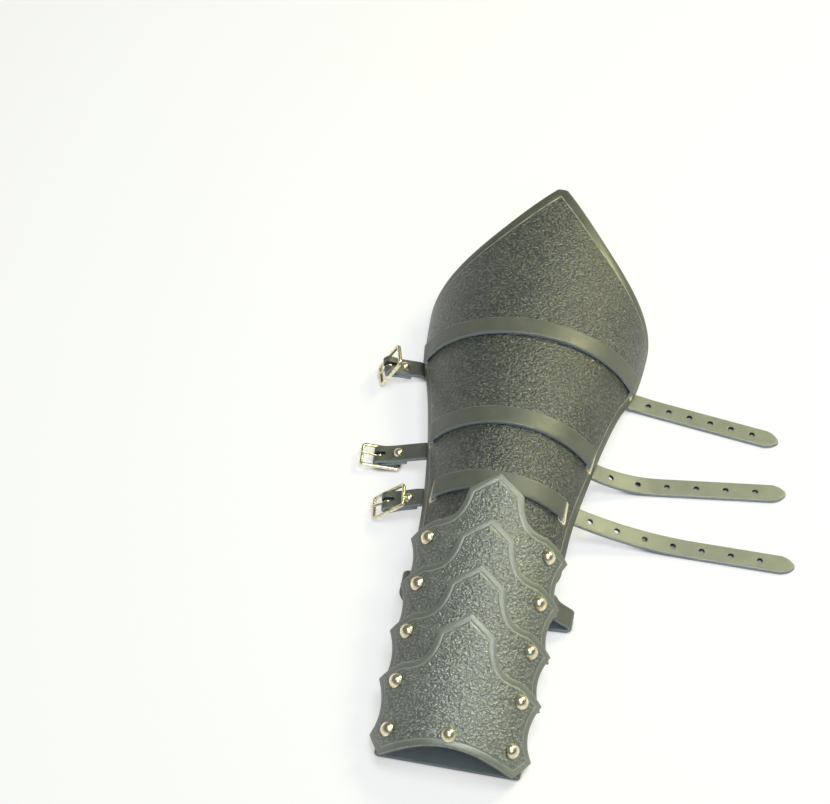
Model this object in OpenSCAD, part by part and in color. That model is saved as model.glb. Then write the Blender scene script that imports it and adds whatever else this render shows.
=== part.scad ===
// Leather forearm bracer with four riveted hand plates and three buckled straps.
// Millimetres. +Z is up from the table that the bracer lies on, open side down,
// +Y runs from the hand to the elbow, and the origin is on the table at the wrist.

/* [Forearm shell] */
// Thickness of the shell's leather
shell_t = 3.5; // [2.5:0.1:4.5]
// Half width of the shell at the wrist
wrist_half = 50; // [46:0.5:54]
// Half width of the shell towards the elbow
elbow_half = 75.5; // [73:0.5:79]
// Greatest height of the shell's crown line
crown_h = 60; // [57:0.5:64]
// Drop of the crown line at the hand end of the shell
crown_drop = 15; // [12:0.5:17]
// Distance from the wrist line to the elbow tip
elbow_reach = 250; // [242:1:262]
// Distance from the wrist line to the hand end of the shell
hand_reach = 58; // [56:0.5:62]
// Corner radius of the hand end
hand_corner_r = 20; // [14:0.5:24]
// Slope of the two edges that meet at the elbow tip
gable_slope = 0.67; // [0.65:0.01:0.8]
// Angle from the crown down to the shell's edge at the elbow, between the straps and at the hand
edge_turn = [87.5, 72.5, 64]; // [60:0.5:88]

/* [Straps] */
// Width of every strap
strap_w = 12.7; // [11:0.1:14]
// Thickness of every strap
strap_t = 2.5; // [2:0.1:2.8]
// Distance from the wrist line to each of the three straps
strap_y = [118, 45, -3]; // [-10:1:130]
// Half angle between the two slots of each strap
slot_angle = [75.5, 63, 50]; // [45:0.5:77]
// Free length of each strap's tail
tail_len = [98, 123, 137]; // [80:1:160]
// Turn of each tail on the table
tail_turn = [-8, 7.5, 0]; // [-12:0.5:12]
// Number of holes in each tail
tail_holes = [6, 6, 7]; // [3:1:8]
// Slope at which each tail leaves the shell's edge
tail_fall = [6, 30, 21]; // [4:1:40]
// Distance from the shell's edge to the first hole of each tail
first_hole = [8.5, 9.5, 5]; // [5:0.5:14]
// Distance between the holes of each tail
hole_pitch = [14.2, 19, 18.5]; // [10:0.5:22]
// Diameter of the tail holes
hole_d = 3.6; // [2.5:0.1:4.5]

/* [Buckles] */
// Distance from the shell's edge to each buckle's middle bar
tab_len = [23, 31, 21]; // [20:0.1:34]
// Turn of each buckle tab on the table
tab_turn = [16, 5, 9]; // [0:0.5:18]
// Rise of each buckle tab, below zero where it slopes down to the table
tab_rise = [20, -16.4, -14]; // [-18:0.1:22]
// Tilt of each buckle frame about its middle bar
frame_tilt = [-80, 23, -27]; // [-85:1:27]
// Distance from each buckle's middle bar to the rivet in its tab
tab_rivet_back = [10.5, 14, 14.5]; // [10:0.5:16]
// Diameter of the buckle's bars
bar_d = 2.2; // [2:0.1:2.4]
// Clear width inside the buckle frame
buckle_in_w = 13.6; // [13.4:0.1:15]
// Distance from the middle bar to the outer bar
buckle_out = 11.3; // [10:0.1:12]
// Distance from the middle bar to the inner bar
buckle_in = 14; // [13:0.1:15]
// Thickness of the prong
prong_d = 1.8; // [1.6:0.1:2]

/* [Hand plates] */
// Thickness of the plates' leather
plate_t = 3.5; // [2.5:0.1:4]
// Radius of a plate's curve across the hand, at mid thickness
plate_r = 60; // [58:0.5:64]
// Narrowing of a plate's curve towards the fingers, per millimetre of its length
plate_taper = 0.15; // [0.13:0.01:0.17]
// Distance along the hand between neighbouring plates
plate_pitch = 32.7; // [30:0.1:35]
// Distance from a plate's peak to its pair of pivot rivets
pivot_down = 45.2; // [43.5:0.1:46.5]
// Distance along the curve from the middle to a pivot rivet
pivot_side = 39.7; // [38:0.1:41]
// Slope of the first plate towards the fingers
first_slope = 12.5; // [11:0.1:14]
// Further slope of each following plate
slope_step = 1.5; // [1:0.1:2]
// Space between two plates where they are riveted
pivot_gap = 0.95; // [0.9:0.01:0.98]
// Leather left past the pivot line on a plate that carries another
pivot_tail = 5; // [4.8:0.1:5.6]
// Length of the last plate from its peak to its bottom corners
last_len = 90; // [87:0.5:94]
// Rise of a plate's bottom edge between its corners
bottom_rise = 8; // [4:0.5:9]
// Distance from the last plate's peak to its finger strap rivets
finger_down = 74.6; // [72:0.1:77]

/* [Rivets] */
// Diameter of a rivet's domed cap
cap_d = 9.6; // [8:0.1:11]
// Height of the dome
cap_h = 3.4; // [2.5:0.1:4.5]
// Diameter of the smaller cap in a buckle tab
tab_cap_d = 7; // [6:0.1:8]
// Diameter of the rivet's post
post_d = 3.2; // [2.8:0.1:3.6]
// Diameter of the cap on the inside
back_d = 8.4; // [7:0.1:9]
// Height of the cap on the inside
back_h = 1.6; // [1.2:0.1:2]

/* [Hand straps] */
// Reach of the palm strap to the thumb side
palm_reach = 57; // [55.5:0.5:59]
// Reach of the palm strap to the other side
palm_back = 49.5; // [48.5:0.5:52]

/* [Hidden] */
$fn = 40;

// Clearances: between two leather pieces, round a fixed post and round a turning bar
seat = 0.3;
post_fit = 0.05;
bar_fit = 0.05;
fold_fit = 0.1;
// Clearance round a post that tilts in the leather under it, per millimetre of depth
tilt_room = 0.22;
leather = "#4b4f45";
strap_leather = "#6a6c62";
metal = "#cfc8a8";

// Curves of the shell: where it widens, where its crown is highest, and its edge
flare_y = 78;
flare_run = 30;
crown_y = 130;
edge_y = [107, 10];
edge_run = [9, 12];
gable_swell = 16;
gable_len = 70;
gable_blend = 9;
tip_half = 3;

function step_up(v) = 1 / (1 + exp(-v));
function blend_min(a, b, k) = (a + b - sqrt((a - b) * (a - b) + k * k)) / 2;
function half_w(y) = wrist_half + (elbow_half - wrist_half) * step_up((y - flare_y) / flare_run);
function crown(y) = crown_h - crown_drop * pow(abs(y - crown_y) / (crown_y + hand_reach - 12), 3);
function mean_r(y) = (half_w(y) + crown(y)) / 2;
function side_angle(y) = edge_turn[1]
    + (edge_turn[0] - edge_turn[1]) * step_up((y - edge_y[0]) / edge_run[0])
    - (edge_turn[1] - edge_turn[2]) * step_up((edge_y[1] - y) / edge_run[1]);
function gable_angle(y) = let (u = elbow_reach - y)
    (tip_half + gable_slope * u + gable_swell * pow(u / gable_len, 4)) / mean_r(y) * 180 / PI;
function corner_cut(y) = let (d = min(hand_corner_r, y + hand_reach) - hand_corner_r)
    (hand_corner_r - sqrt(hand_corner_r * hand_corner_r - d * d)) / mean_r(y) * 180 / PI;
function edge_angle(y) = blend_min(side_angle(y), gable_angle(y), gable_blend) - corner_cut(y);

// A point of the shell's section at y, at an angle from the crown and an offset from mid thickness
function skin(y, a, n) = let (w = half_w(y), h = crown(y), u = [sin(a) / w, cos(a) / h])
    [w * sin(a), h * cos(a)] + n * u / norm(u);
function skin_lean(y, a) = atan2(sin(a) / half_w(y), cos(a) / crown(y));

// Faces of a sheet whose points run row by row, the outer side first and then the inner side
function sheet_faces(rows, cols) = let (m = rows * cols) concat(
    [for (i = [0:rows - 2], j = [0:cols - 2], k = [0, 1]) let (p = i * cols + j)
        k == 0 ? [p, p + cols, p + 1] : [p + 1, p + cols, p + cols + 1]],
    [for (i = [0:rows - 2], j = [0:cols - 2], k = [0, 1]) let (p = m + i * cols + j)
        k == 0 ? [p, p + 1, p + cols] : [p + 1, p + cols + 1, p + cols]],
    [for (i = [0:rows - 2], k = [0:3]) let (p = i * cols, q = p + cols - 1)
        [[p, p + m, p + cols], [p + cols, p + m, p + m + cols],
         [q, q + cols, q + m], [q + cols, q + m + cols, q + m]][k]],
    [for (j = [0:cols - 2], k = [0:3]) let (p = j, q = (rows - 1) * cols + j)
        [[p, p + 1, p + m], [p + 1, p + 1 + m, p + m],
         [q, q + m, q + 1], [q + 1, q + m, q + 1 + m]][k]]);

function flipped(faces) = [for (f = faces) [f[2], f[1], f[0]]];

// Offsets a path in the XZ plane to one side, with mitred corners
function unit(v) = v / norm(v);
function turned(v) = [-v[1], v[0]];
function side_point(path, i, d, closed) = let (
    n = len(path),
    before = closed ? path[(i + n - 1) % n] : path[max(i - 1, 0)],
    after = closed ? path[(i + 1) % n] : path[min(i + 1, n - 1)],
    a = i == 0 && !closed ? unit(after - path[i]) : unit(path[i] - before),
    b = i == n - 1 && !closed ? a : unit(after - path[i]),
    m = unit(turned(a) + turned(b)))
    path[i] + m * d / (m * turned(b));

// A ribbon of leather between two paths, one for each of its long edges
module ribbon(path_a, path_b, y_a, y_b, closed = false) {
    n = len(path_a);
    half = strap_t / 2;
    points = [for (i = [0:n - 1], k = [0:3])
        let (path = k < 2 ? path_a : path_b, ys = k < 2 ? y_a : y_b, d = k == 0 || k == 3 ? half : -half,
            p = side_point(path, i, d, closed))
        [p[0], ys[i], p[1]]];
    last = closed ? n - 1 : n - 2;
    sides = [for (i = [0:last], k = [0:3], h = [0, 1])
        let (j = (i + 1) % n, p = 4 * i + k, q = 4 * i + (k + 1) % 4, r = 4 * j + k,
            s = 4 * j + (k + 1) % 4)
        h == 0 ? [p, q, r] : [q, s, r]];
    e = 4 * (n - 1);
    ends = closed ? [] : [[0, 2, 1], [0, 3, 2], [e, e + 1, e + 2], [e, e + 2, e + 3]];
    polyhedron(points, flipped(concat(sides, ends)), convexity = 10);
}

// Stations of the shell, closer together at the tip and at the rounded hand end
shell_cols = 30;
function shell_rows() = concat(
    [for (i = [0:4]) -hand_reach + hand_corner_r * (1 - cos(90 * i / 4))],
    [for (i = [1:22]) -hand_reach + hand_corner_r
        + (elbow_reach - gable_len + hand_reach - hand_corner_r) * i / 22],
    [for (i = [1:7]) elbow_reach - gable_len * (1 - i / 7)]);

module slot_cut(k, side) {
    y = strap_y[k];
    at = skin(y, slot_angle[k], 0);
    translate([side * at[0], y, at[1]])
        rotate([0, side * skin_lean(y, slot_angle[k]), 0])
            cube([slot_w, strap_w + 2 * slot_end, 4 * shell_t], center = true);
}

module forearm_shell() {
    rows = shell_rows();
    points = [for (side = [1, -1], y = rows, j = [0:shell_cols])
        let (p = skin(y, edge_angle(y) * (2 * j / shell_cols - 1), side * shell_t / 2)) [p[0], y, p[1]]];
    color(leather)
        difference() {
            polyhedron(points, sheet_faces(len(rows), shell_cols + 1), convexity = 10);
            for (k = [0:2], side = [-1, 1]) slot_cut(k, side);
            for (side = [-1, 1]) pivot_hole(0, side, shell_t + first_gap + plate_t / 2);
        }
}

// Straps: the run over the crown, the slots, and the stretch inside the wall and round its edge
out_n = shell_t / 2 + seat + strap_t / 2;
cross_run = 4;
slot_w = 5.9;
slot_end = 0.75;
turn_in = [3.3, 2.9, 1];
turn_down = [-4, 0.9, 2.2];
hinge_out = 4.9;
end_back = 1.1;
inner_ease = 0.5;
inner_step = 5;
tail_shift = [-1, 1.5, 10];
tab_shift = [-3.3, -3.5, 6];

// The shell's edge where a strap end comes out: the lowest of three stations across the strap,
// and the strap's narrower side, so that the whole width clears the wall
function exit_angle(y) = max([for (d = [-0.5, 0, 0.5]) edge_angle(y + d * strap_w)]);
function exit_point(y, inward, down) = let (a = exit_angle(y), lean = skin_lean(y, a))
    skin(y - strap_w / 2, a, -inward) + down * [cos(lean), -sin(lean)];
function hinge_point(y, fall) = exit_point(y, turn_in[2], turn_down[2])
    + hinge_out * [cos(fall), -sin(fall)];
function tail_y(k) = strap_y[k] + tail_shift[k];
function tab_y(k) = strap_y[k] + tab_shift[k];
function tail_hinge(k) = hinge_point(tail_y(k), tail_fall[k]);
function tab_hinge(k) = hinge_point(tab_y(k), -tab_rise[k]);

// Half of a strap's path for its edge at y, from the crown down to the hinge beside the shell
over_steps = 9;
function inner_steps(k) = max(1, floor((edge_angle(strap_y[k]) - slot_angle[k]) * mean_r(strap_y[k])
    * PI / 180 / inner_step) - 1);
function half_path(k, y, out_y, fall) = let (
    step = cross_run / 2 / mean_r(y) * 180 / PI,
    top = slot_angle[k] - step,
    low = slot_angle[k] + step,
    end = exit_angle(out_y) + turn_down[0] / mean_r(out_y) * 180 / PI,
    m = inner_steps(k))
    concat(
        [for (i = [1:over_steps]) skin(y, top * i / over_steps, out_n)],
        [for (i = [0:m]) skin(y + (out_y - strap_y[k]) * i / (m + 1), low + (end - low) * i / m,
            -out_n - inner_ease * i / m)],
        [exit_point(out_y, turn_in[1], turn_down[1]), exit_point(out_y, turn_in[2], turn_down[2]),
            hinge_point(out_y, fall) - end_back * [cos(fall), -sin(fall)]]);
function reversed(v) = [for (i = [len(v) - 1:-1:0]) v[i]];
function mirrored(v) = [for (p = v) [-p[0], p[1]]];
function strap_path(k, y) = concat(
    reversed(mirrored(half_path(k, y, tab_y(k), -tab_rise[k]))), [skin(y, 0, out_n)],
    half_path(k, y, tail_y(k), tail_fall[k]));
// How far each point of half a strap has moved along the arm on its way from slot to edge
function half_shift(k, total) = let (m = inner_steps(k), first = over_steps + 1)
    [for (i = [0:over_steps + m + 3]) i < first ? 0 : total * min(1, (i - first) / (m + 1))];

module strap_band(k) {
    lines = [for (s = [-0.5, 0.5]) strap_path(k, strap_y[k] + s * strap_w)];
    shift = concat(reversed(half_shift(k, tab_shift[k])), [0], half_shift(k, tail_shift[k]));
    ys = [for (s = [-0.5, 0.5]) [for (d = shift) strap_y[k] + s * strap_w + d]];
    color(strap_leather)
        difference() {
            ribbon(lines[0], lines[1], ys[0], ys[1]);
            on_tail(k) knuckle(strap_t / 2 + seat);
            on_tab(k) knuckle(strap_t / 2 + seat);
        }
}

// Frames of a tail and a tab: the origin is on the hinge line, +X runs outwards
module on_tail(k) {
    p = tail_hinge(k);
    translate([p[0], tail_y(k), p[1]]) rotate([0, 0, tail_turn[k]]) children();
}
module on_tab(k) {
    p = tab_hinge(k);
    translate([-p[0], tab_y(k), p[1]]) rotate([0, 0, 180 + tab_turn[k]]) children();
}
module knuckle(r) {
    rotate([90, 0, 0]) cylinder(r = r, h = 2 * strap_w, center = true);
}

// Side outline of a strap end: a line given its thickness, with a round end on the hinge line
function thick_line(line) = let (half = strap_t / 2, n = len(line) - 1,
    lean = atan2(line[1][1] - line[0][1], line[1][0] - line[0][0]))
    concat([for (i = [0:n]) side_point(line, i, half, false)],
        [for (i = [n:-1:0]) side_point(line, i, -half, false)],
        [for (i = [1:5]) half * [cos(lean + 270 - 30 * i), sin(lean + 270 - 30 * i)]]);

// Tail: eases down to the table, then lies flat, with a pointed end and a row of holes
ease_steps = 6;
tip_len = 9;
function tail_drop(k) = tail_hinge(k)[1] - strap_t / 2;
function ease_len(k) = 2 * tail_drop(k) / tan(tail_fall[k]);
function ease_left(k, x) = max(0, 1 - x / ease_len(k));
function tail_z(k, x) = -tail_drop(k) * (1 - pow(ease_left(k, x), 2));
module strap_tail(k) {
    line = concat([for (i = [0:ease_steps]) let (x = ease_len(k) * i / ease_steps) [x, tail_z(k, x)]],
        [[tail_len[k], -tail_drop(k)]]);
    color(strap_leather)
        on_tail(k)
            difference() {
                intersection() {
                    rotate([90, 0, 0]) linear_extrude(strap_w, center = true) polygon(thick_line(line));
                    translate([0, 0, -2 * crown_drop]) linear_extrude(4 * crown_drop)
                        polygon([[-strap_w, -strap_w], [tail_len[k] - tip_len, -strap_w],
                            [tail_len[k] - tip_len, -strap_w / 2],
                            [tail_len[k] - tip_len / 2, -strap_w * 0.36], [tail_len[k] - 0.5, 0],
                            [tail_len[k] - tip_len / 2, strap_w * 0.36],
                            [tail_len[k] - tip_len, strap_w / 2], [tail_len[k] - tip_len, strap_w],
                            [-strap_w, strap_w]]);
                }
                for (i = [0:tail_holes[k] - 1]) let (x = first_hole[k] + i * hole_pitch[k])
                    translate([x, 0, tail_z(k, x)])
                        rotate([0, atan(ease_left(k, x) * tan(tail_fall[k])), 0])
                            cylinder(d = hole_d, h = 2 * strap_t, center = true);
            }
}

// Buckle tab: one strap end that folds round the middle bar and is riveted to itself
layer_gap = 0.2;
fold_r = bar_d / 2 + fold_fit + strap_t / 2;
fold_past = 5;
fold_ease = 7;
prong_slot_w = prong_d + 1.2;
prong_slot_back = 5;
function tab_drop(k) = (strap_t + layer_gap) / 2;
module in_tab(k) {
    on_tab(k) rotate([0, -tab_rise[k], 0]) children();
}
module at_bar(k) {
    in_tab(k) translate([tab_len[k], 0, -tab_drop(k)]) children();
}
module buckle_tab(k) {
    low = -2 * tab_drop(k);
    line = concat([[0, 0], [tab_len[k] - fold_ease, 0], [tab_len[k] - fold_ease / 2, 0.55]],
        [for (a = [90:-20:-90]) [tab_len[k] + fold_r * cos(a), -tab_drop(k) + fold_r * sin(a)]],
        [[tab_len[k] - fold_ease / 2, low - 0.55], [tab_len[k] - fold_ease, low],
            [tab_len[k] - tab_rivet_back[k] - fold_past, low]]);
    color(strap_leather)
        difference() {
            in_tab(k) rotate([90, 0, 0]) linear_extrude(strap_w, center = true) polygon(thick_line(line));
            at_bar(k) {
                rotate([90, 0, 0]) cylinder(d = bar_d + 2 * fold_fit, h = 2 * strap_w, center = true);
                translate([-prong_slot_back, -prong_slot_w / 2, -2 * fold_r])
                    cube([prong_slot_back + fold_r + strap_t, prong_slot_w, 4 * fold_r]);
            }
            in_tab(k) translate([tab_len[k] - tab_rivet_back[k], 0, 0])
                cylinder(d = post_d + 2 * post_fit, h = 6 * strap_t, center = true);
        }
}

// Rivet: a dome, a post and a flatter dome on the inside; the two domes follow the size given
module rivet_shape(grip, size = 1) {
    h = cap_h * size;
    t = back_h * size;
    r = cap_h * size / 2 + cap_d * cap_d * size / cap_h / 8;
    b = back_h * size / 2 + back_d * back_d * size / back_h / 8;
    rotate_extrude() {
        intersection() {
            translate([0, h - r]) circle(r = r, $fn = 72);
            square([cap_d, 2 * cap_h]);
        }
        translate([0, -grip - 0.1]) square([post_d / 2, grip + 0.2]);
        intersection() {
            translate([0, -grip - t + b]) circle(r = b, $fn = 72);
            translate([0, -grip - 2 * back_h]) square([back_d, 2 * back_h]);
        }
    }
}

module tab_rivet(k) {
    grip = 2 * strap_t + layer_gap + 0.1;
    color(metal)
        in_tab(k) translate([tab_len[k] - tab_rivet_back[k], 0, strap_t / 2 + 0.05])
            rivet_shape(grip, tab_cap_d / cap_d);
}

module on_frame(k) {
    at_bar(k) rotate([0, -frame_tilt[k], 0]) children();
}
// Buckle frame: a flat ring with round corners and a round bar across it
frame_t = bar_d + 0.2;
frame_corner = 3;
function round_box(x0, x1, half, r) = [for (c = [[x1, 1, 0], [x0, 1, 90], [x0, -1, 180], [x1, -1, 270]],
    i = [0:5]) let (sx = c[0] == x1 ? -1 : 1)
    [c[0] + sx * r + r * cos(c[2] + 18 * i), c[1] * (half - r) + r * sin(c[2] + 18 * i)]];
module buckle_frame(k) {
    half = buckle_in_w / 2;
    color(metal)
        on_frame(k) {
            linear_extrude(frame_t, center = true)
                difference() {
                    polygon(round_box(-buckle_in - bar_d / 2, buckle_out + bar_d / 2, half + bar_d,
                        frame_corner));
                    polygon(round_box(-buckle_in + bar_d / 2, buckle_out - bar_d / 2, half,
                        frame_corner - bar_d));
                }
            rotate([90, 0, 0]) cylinder(d = bar_d, h = buckle_in_w + bar_d, center = true);
        }
}

// Prong: an eye round the middle bar and a tongue that rests on the outer bar
module buckle_prong(k) {
    eye_r = bar_d / 2 + bar_fit + prong_d * 0.7;
    slope = atan((frame_t / 2 + prong_d / 2 + 0.2) / (buckle_out - bar_d / 2));
    color(metal)
        on_frame(k)
            difference() {
                union() {
                    rotate([90, 0, 0]) cylinder(r = eye_r, h = prong_d, center = true);
                    rotate([0, -slope, 0]) rotate([0, 90, 0]) cylinder(d = prong_d, h = buckle_out + 0.5);
                    rotate([0, -slope, 0]) translate([buckle_out + 0.5, 0, 0]) sphere(d = prong_d);
                }
                rotate([90, 0, 0]) cylinder(r = bar_d / 2 + bar_fit, h = 2 * strap_w, center = true);
            }
}

// Hand plates: slope and peak of each, worked out from the plate that carries it
function slope_of(k) = first_slope + slope_step * k;
function down_dir(k) = [0, -cos(slope_of(k)), -sin(slope_of(k))];
function out_dir(k) = [0, -sin(slope_of(k)), cos(slope_of(k))];
peak_y = -0.6;
peak_z = crown(peak_y) + shell_t / 2 + strap_t + 2 * seat + plate_t / 2 + 0.6;
function peak_of(k) = k == 0 ? [0, peak_y, peak_z] :
    peak_of(k - 1) + (pivot_down + plate_pitch) * down_dir(k - 1)
    + (plate_t + pivot_gap) * out_dir(k - 1) - pivot_down * down_dir(k);
module on_plate(k) {
    translate(peak_of(k)) rotate([slope_of(k), 0, 0]) children();
}
// Puts things on the plate's curve: w along the curve, d down from the peak, n out from mid thickness
function radius_at(d) = plate_r - plate_taper * (d - pivot_down);
function curve_angle(w, d) = w / radius_at(d) * 180 / PI;
function bent(w, d, n) = let (r = radius_at(d), a = curve_angle(w, d))
    [(r + n) * sin(a), -d, (r + n) * cos(a) - r];
module on_curve(k, w, d, n) {
    on_plate(k) translate(bent(w, d, n)) rotate([0, curve_angle(w, d), 0]) children();
}
module pivot_hole(k, side, depth) {
    on_curve(k, side * pivot_side, pivot_down, 0)
        cylinder(r = post_d / 2 + tilt_room * depth * 0.8, h = 2 * plate_t + 2 * depth, center = true);
}

// Half outline of a plate's top edge, from the peak over the notch to the shoulder
top_edge = [[0, 0], [8.7, 6.2], [17.3, 12.6], [18.3, 18], [19.6, 23], [22.6, 28.6], [26.5, 31.6],
    [30.5, 32.9], [33.5, 33.3], [37, 33.5]];
// Half outline of its side, from the shoulder over the side point and the hollow to the last corner
side_edge = [[37, 33.5], [47, 37.5], [56.6, 43], [53.6, 48], [51.4, 53], [50, 59], [50.2, 65],
    [52.5, 71], [58, 77], [53.5, 81.5], [48.5, 86], [44, 90]];
side_spread = 5;
hidden_rise = 2;
function plate_len(k) = k == 3 ? last_len : pivot_down + plate_pitch + pivot_tail;
// Side points of one plate: the shared outline, cut short or stretched at its bottom corner
function side_points(k) = [for (i = [0:len(side_edge) - 1]) let (p = side_edge[i], q = side_edge[8])
    i <= 8 ? p : [p[0], q[1] + (p[1] - q[1]) * (plate_len(k) - q[1]) / (side_edge[11][1] - q[1])]];
module plate_sheet(k) {
    side = side_points(k);
    top = concat([for (i = [len(top_edge) - 1:-1:1]) [-top_edge[i][0], top_edge[i][1]]], top_edge);
    wide = side[0][0];
    length = plate_len(k);
    rise = k == 3 ? bottom_rise : hidden_rise;
    points = [for (n = [plate_t / 2, -plate_t / 2], i = [0:len(side) - 1], j = [0:len(top) - 1])
        let (t = top[j][0] / wide, s = (side[i][1] - side[0][1]) / (length - side[0][1]),
            low = length - rise * (1 - t * t),
            w = t * (wide + (side[i][0] - wide) * pow(abs(t), side_spread - 1)))
        bent(w, top[j][1] * (1 - s) + low * s, n)];
    polyhedron(points, flipped(sheet_faces(len(side), len(top))), convexity = 10);
}
module hand_plate(k) {
    color(leather)
        difference() {
            on_plate(k) plate_sheet(k);
            for (side = [-1, 1]) {
                on_curve(k, side * pivot_side, pivot_down, 0)
                    cylinder(d = post_d + 2 * post_fit, h = 4 * plate_t, center = true);
                if (k < 3) pivot_hole(k + 1, side, pivot_gap + plate_t + (k == 0 ? strap_t : 0));
            }
            if (k == 3) for (w = [-pivot_side, 0, pivot_side])
                on_curve(k, w, finger_rivet_down(w), 0)
                    cylinder(d = post_d + 2 * post_fit, h = 4 * plate_t, center = true);
        }
}

// Pivot rivets ride with the upper plate and pass loosely through what lies under it
cap_lift = 0.2;
back_room = 0.85;
finger_room = 0.8;
first_gap = 2.6;
function pivot_grip(k) = plate_t + back_room + cap_lift + (k == 0 ? first_gap + shell_t : pivot_gap + plate_t)
    + (k == 1 ? strap_t + seat + palm_drop : 0);
module plate_rivets(k) {
    color(metal) for (side = [-1, 1])
        on_curve(k, side * pivot_side, pivot_down, plate_t / 2 + cap_lift) rivet_shape(pivot_grip(k));
}

// Finger strap: a closed loop, its upper run under the last plate and its lower run on the table
function side_fall(k, w, d) = -bent(w, d, 0)[2] * sin(slope_of(k));
function finger_rivet_down(w) = finger_down;
function skin_down(k, w, y, n, d) = let (a = slope_of(k))
    (peak_of(k)[1] - y - bent(w, d, n)[2] * sin(a)) / cos(a);
function plate_skin(k, w, y, n) = let (
    d = skin_down(k, w, y, n, skin_down(k, w, y, n, (peak_of(k)[1] - y))),
    p = bent(w, d, n), a = slope_of(k))
    [p[0], peak_of(k)[2] - d * sin(a) + p[2] * cos(a)];
finger_y = peak_of(3)[1] - finger_down * cos(slope_of(3)) + side_fall(3, pivot_side, finger_down) / 2;
strap_n = -plate_t / 2 - seat - strap_t / 2;
finger_n = strap_n - 0.15;
finger_wrap = 54;
finger_lean = 34;
finger_steps = 6;
// The turn at each end of the upper run, down to the table and back under the hand
function finger_turn(p) = let (r = (p[1] - strap_t / 2) / (1 + sin(finger_lean)))
    [for (i = [1:finger_steps]) let (a = finger_lean - (finger_lean + 90) * i / finger_steps)
        [p[0] + r * (cos(a) - cos(finger_lean)), strap_t / 2 + r * (1 + sin(a))]];
function finger_path(y) = let (turn = finger_turn(plate_skin(3, finger_wrap, y, finger_n)))
    concat([for (i = [-6:6]) plate_skin(3, finger_wrap * i / 6, y, finger_n)],
        turn, reversed(mirrored(turn)));
module finger_strap() {
    ya = finger_y - strap_w / 2;
    yb = finger_y + strap_w / 2;
    n = len(finger_path(ya));
    color(strap_leather)
        difference() {
            ribbon(finger_path(ya), finger_path(yb), [for (i = [1:n]) ya], [for (i = [1:n]) yb], true);
            for (w = [-pivot_side, 0, pivot_side])
                on_curve(3, w, finger_rivet_down(w), -plate_t)
                    cylinder(d = post_d + 2 * post_fit, h = 4 * strap_t, center = true);
        }
}
module finger_strap_rivets() {
    color(metal) for (w = [-pivot_side, 0, pivot_side])
        on_curve(3, w, finger_rivet_down(w), plate_t / 2 + cap_lift)
            rivet_shape(plate_t + seat + strap_t + cap_lift + finger_room);
}

// Palm strap: hangs from the second pair of pivots and loops under the hand, fuller on one side.
// The first list follows the plate, by distance along its curve and shift towards the wrist.
// The other two turn down to the table, by distance from the middle, height and shift.
palm_y = peak_of(1)[1] - pivot_down * cos(slope_of(1)) + side_fall(1, pivot_side, pivot_down);
palm_drop = 0.45;
palm_n = strap_n - palm_drop;
palm_wrap = [[28, 0], [34, 0], [40, 0], [46, 5], [52, 10], [56, 12]];
palm_left = [[2.8, 17.9, 13], [0.6, 16.2, 13.3], [0, 13.6, 13], [0.9, 9.6, 12.3], [3.5, 5.6, 11],
    [7.5, 2.6, 9], [12.5, strap_t / 2, 7]];
palm_right = [[10, 14.2, 12], [7, 11.2, 12], [3.4, 8.6, 12], [0.6, 6.2, 12], [0.2, 3.9, 12],
    [2.4, 1.9, 12], [6.5, 1.3, 12], [14, strap_t / 2, 11.5]];
// The edge nearer the wrist hangs a little higher where the strap is off the table
palm_lean = 0.1;
palm_flat = 4;
function palm_shift() = concat([for (p = palm_wrap) p[1]], [for (p = palm_left) p[2]],
    reversed([for (p = palm_right) p[2]]), reversed([for (p = palm_wrap) p[1]]));
function palm_height(z, edge) = z + edge * palm_lean * max(0, z - palm_flat);
function palm_path(edge) = let (y = palm_y + edge * strap_w / 2,
    wrap = [for (p = palm_wrap) plate_skin(0, p[0], y + p[1], palm_n)])
    concat(mirrored(wrap), [for (p = palm_left) [p[0] - palm_back, palm_height(p[1], edge)]],
        reversed([for (p = palm_right) [palm_reach - p[0], palm_height(p[1], edge)]]), reversed(wrap));
module palm_strap() {
    color(strap_leather)
        difference() {
            ribbon(palm_path(-1), palm_path(1), [for (v = palm_shift()) palm_y - strap_w / 2 + v],
                [for (v = palm_shift()) palm_y + strap_w / 2 + v]);
            for (side = [-1, 1]) pivot_hole(1, side, pivot_gap + plate_t + strap_t);
        }
}

forearm_shell();
hand_plate(0);  // hand_plate_1
hand_plate(1);  // hand_plate_2
hand_plate(2);  // hand_plate_3
hand_plate(3);  // hand_plate_4
strap_band(0);  // upper_strap
strap_tail(0);  // upper_strap_tail
buckle_tab(0);  // upper_buckle_tab
buckle_frame(0);  // upper_buckle_frame
buckle_prong(0);  // upper_buckle_prong
tab_rivet(0);  // upper_tab_rivet
strap_band(1);  // middle_strap
strap_tail(1);  // middle_strap_tail
buckle_tab(1);  // middle_buckle_tab
buckle_frame(1);  // middle_buckle_frame
buckle_prong(1);  // middle_buckle_prong
tab_rivet(1);  // middle_tab_rivet
strap_band(2);  // wrist_strap
strap_tail(2);  // wrist_strap_tail
buckle_tab(2);  // wrist_buckle_tab
buckle_frame(2);  // wrist_buckle_frame
buckle_prong(2);  // wrist_buckle_prong
tab_rivet(2);  // wrist_tab_rivet
plate_rivets(0);  // plate_rivets_1
plate_rivets(1);  // plate_rivets_2
plate_rivets(2);  // plate_rivets_3
plate_rivets(3);  // plate_rivets_4
finger_strap_rivets();
palm_strap();
finger_strap();
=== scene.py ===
import math

import bpy
import numpy as np
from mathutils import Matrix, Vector
from mathutils.geometry import delaunay_2d_cdt


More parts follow.
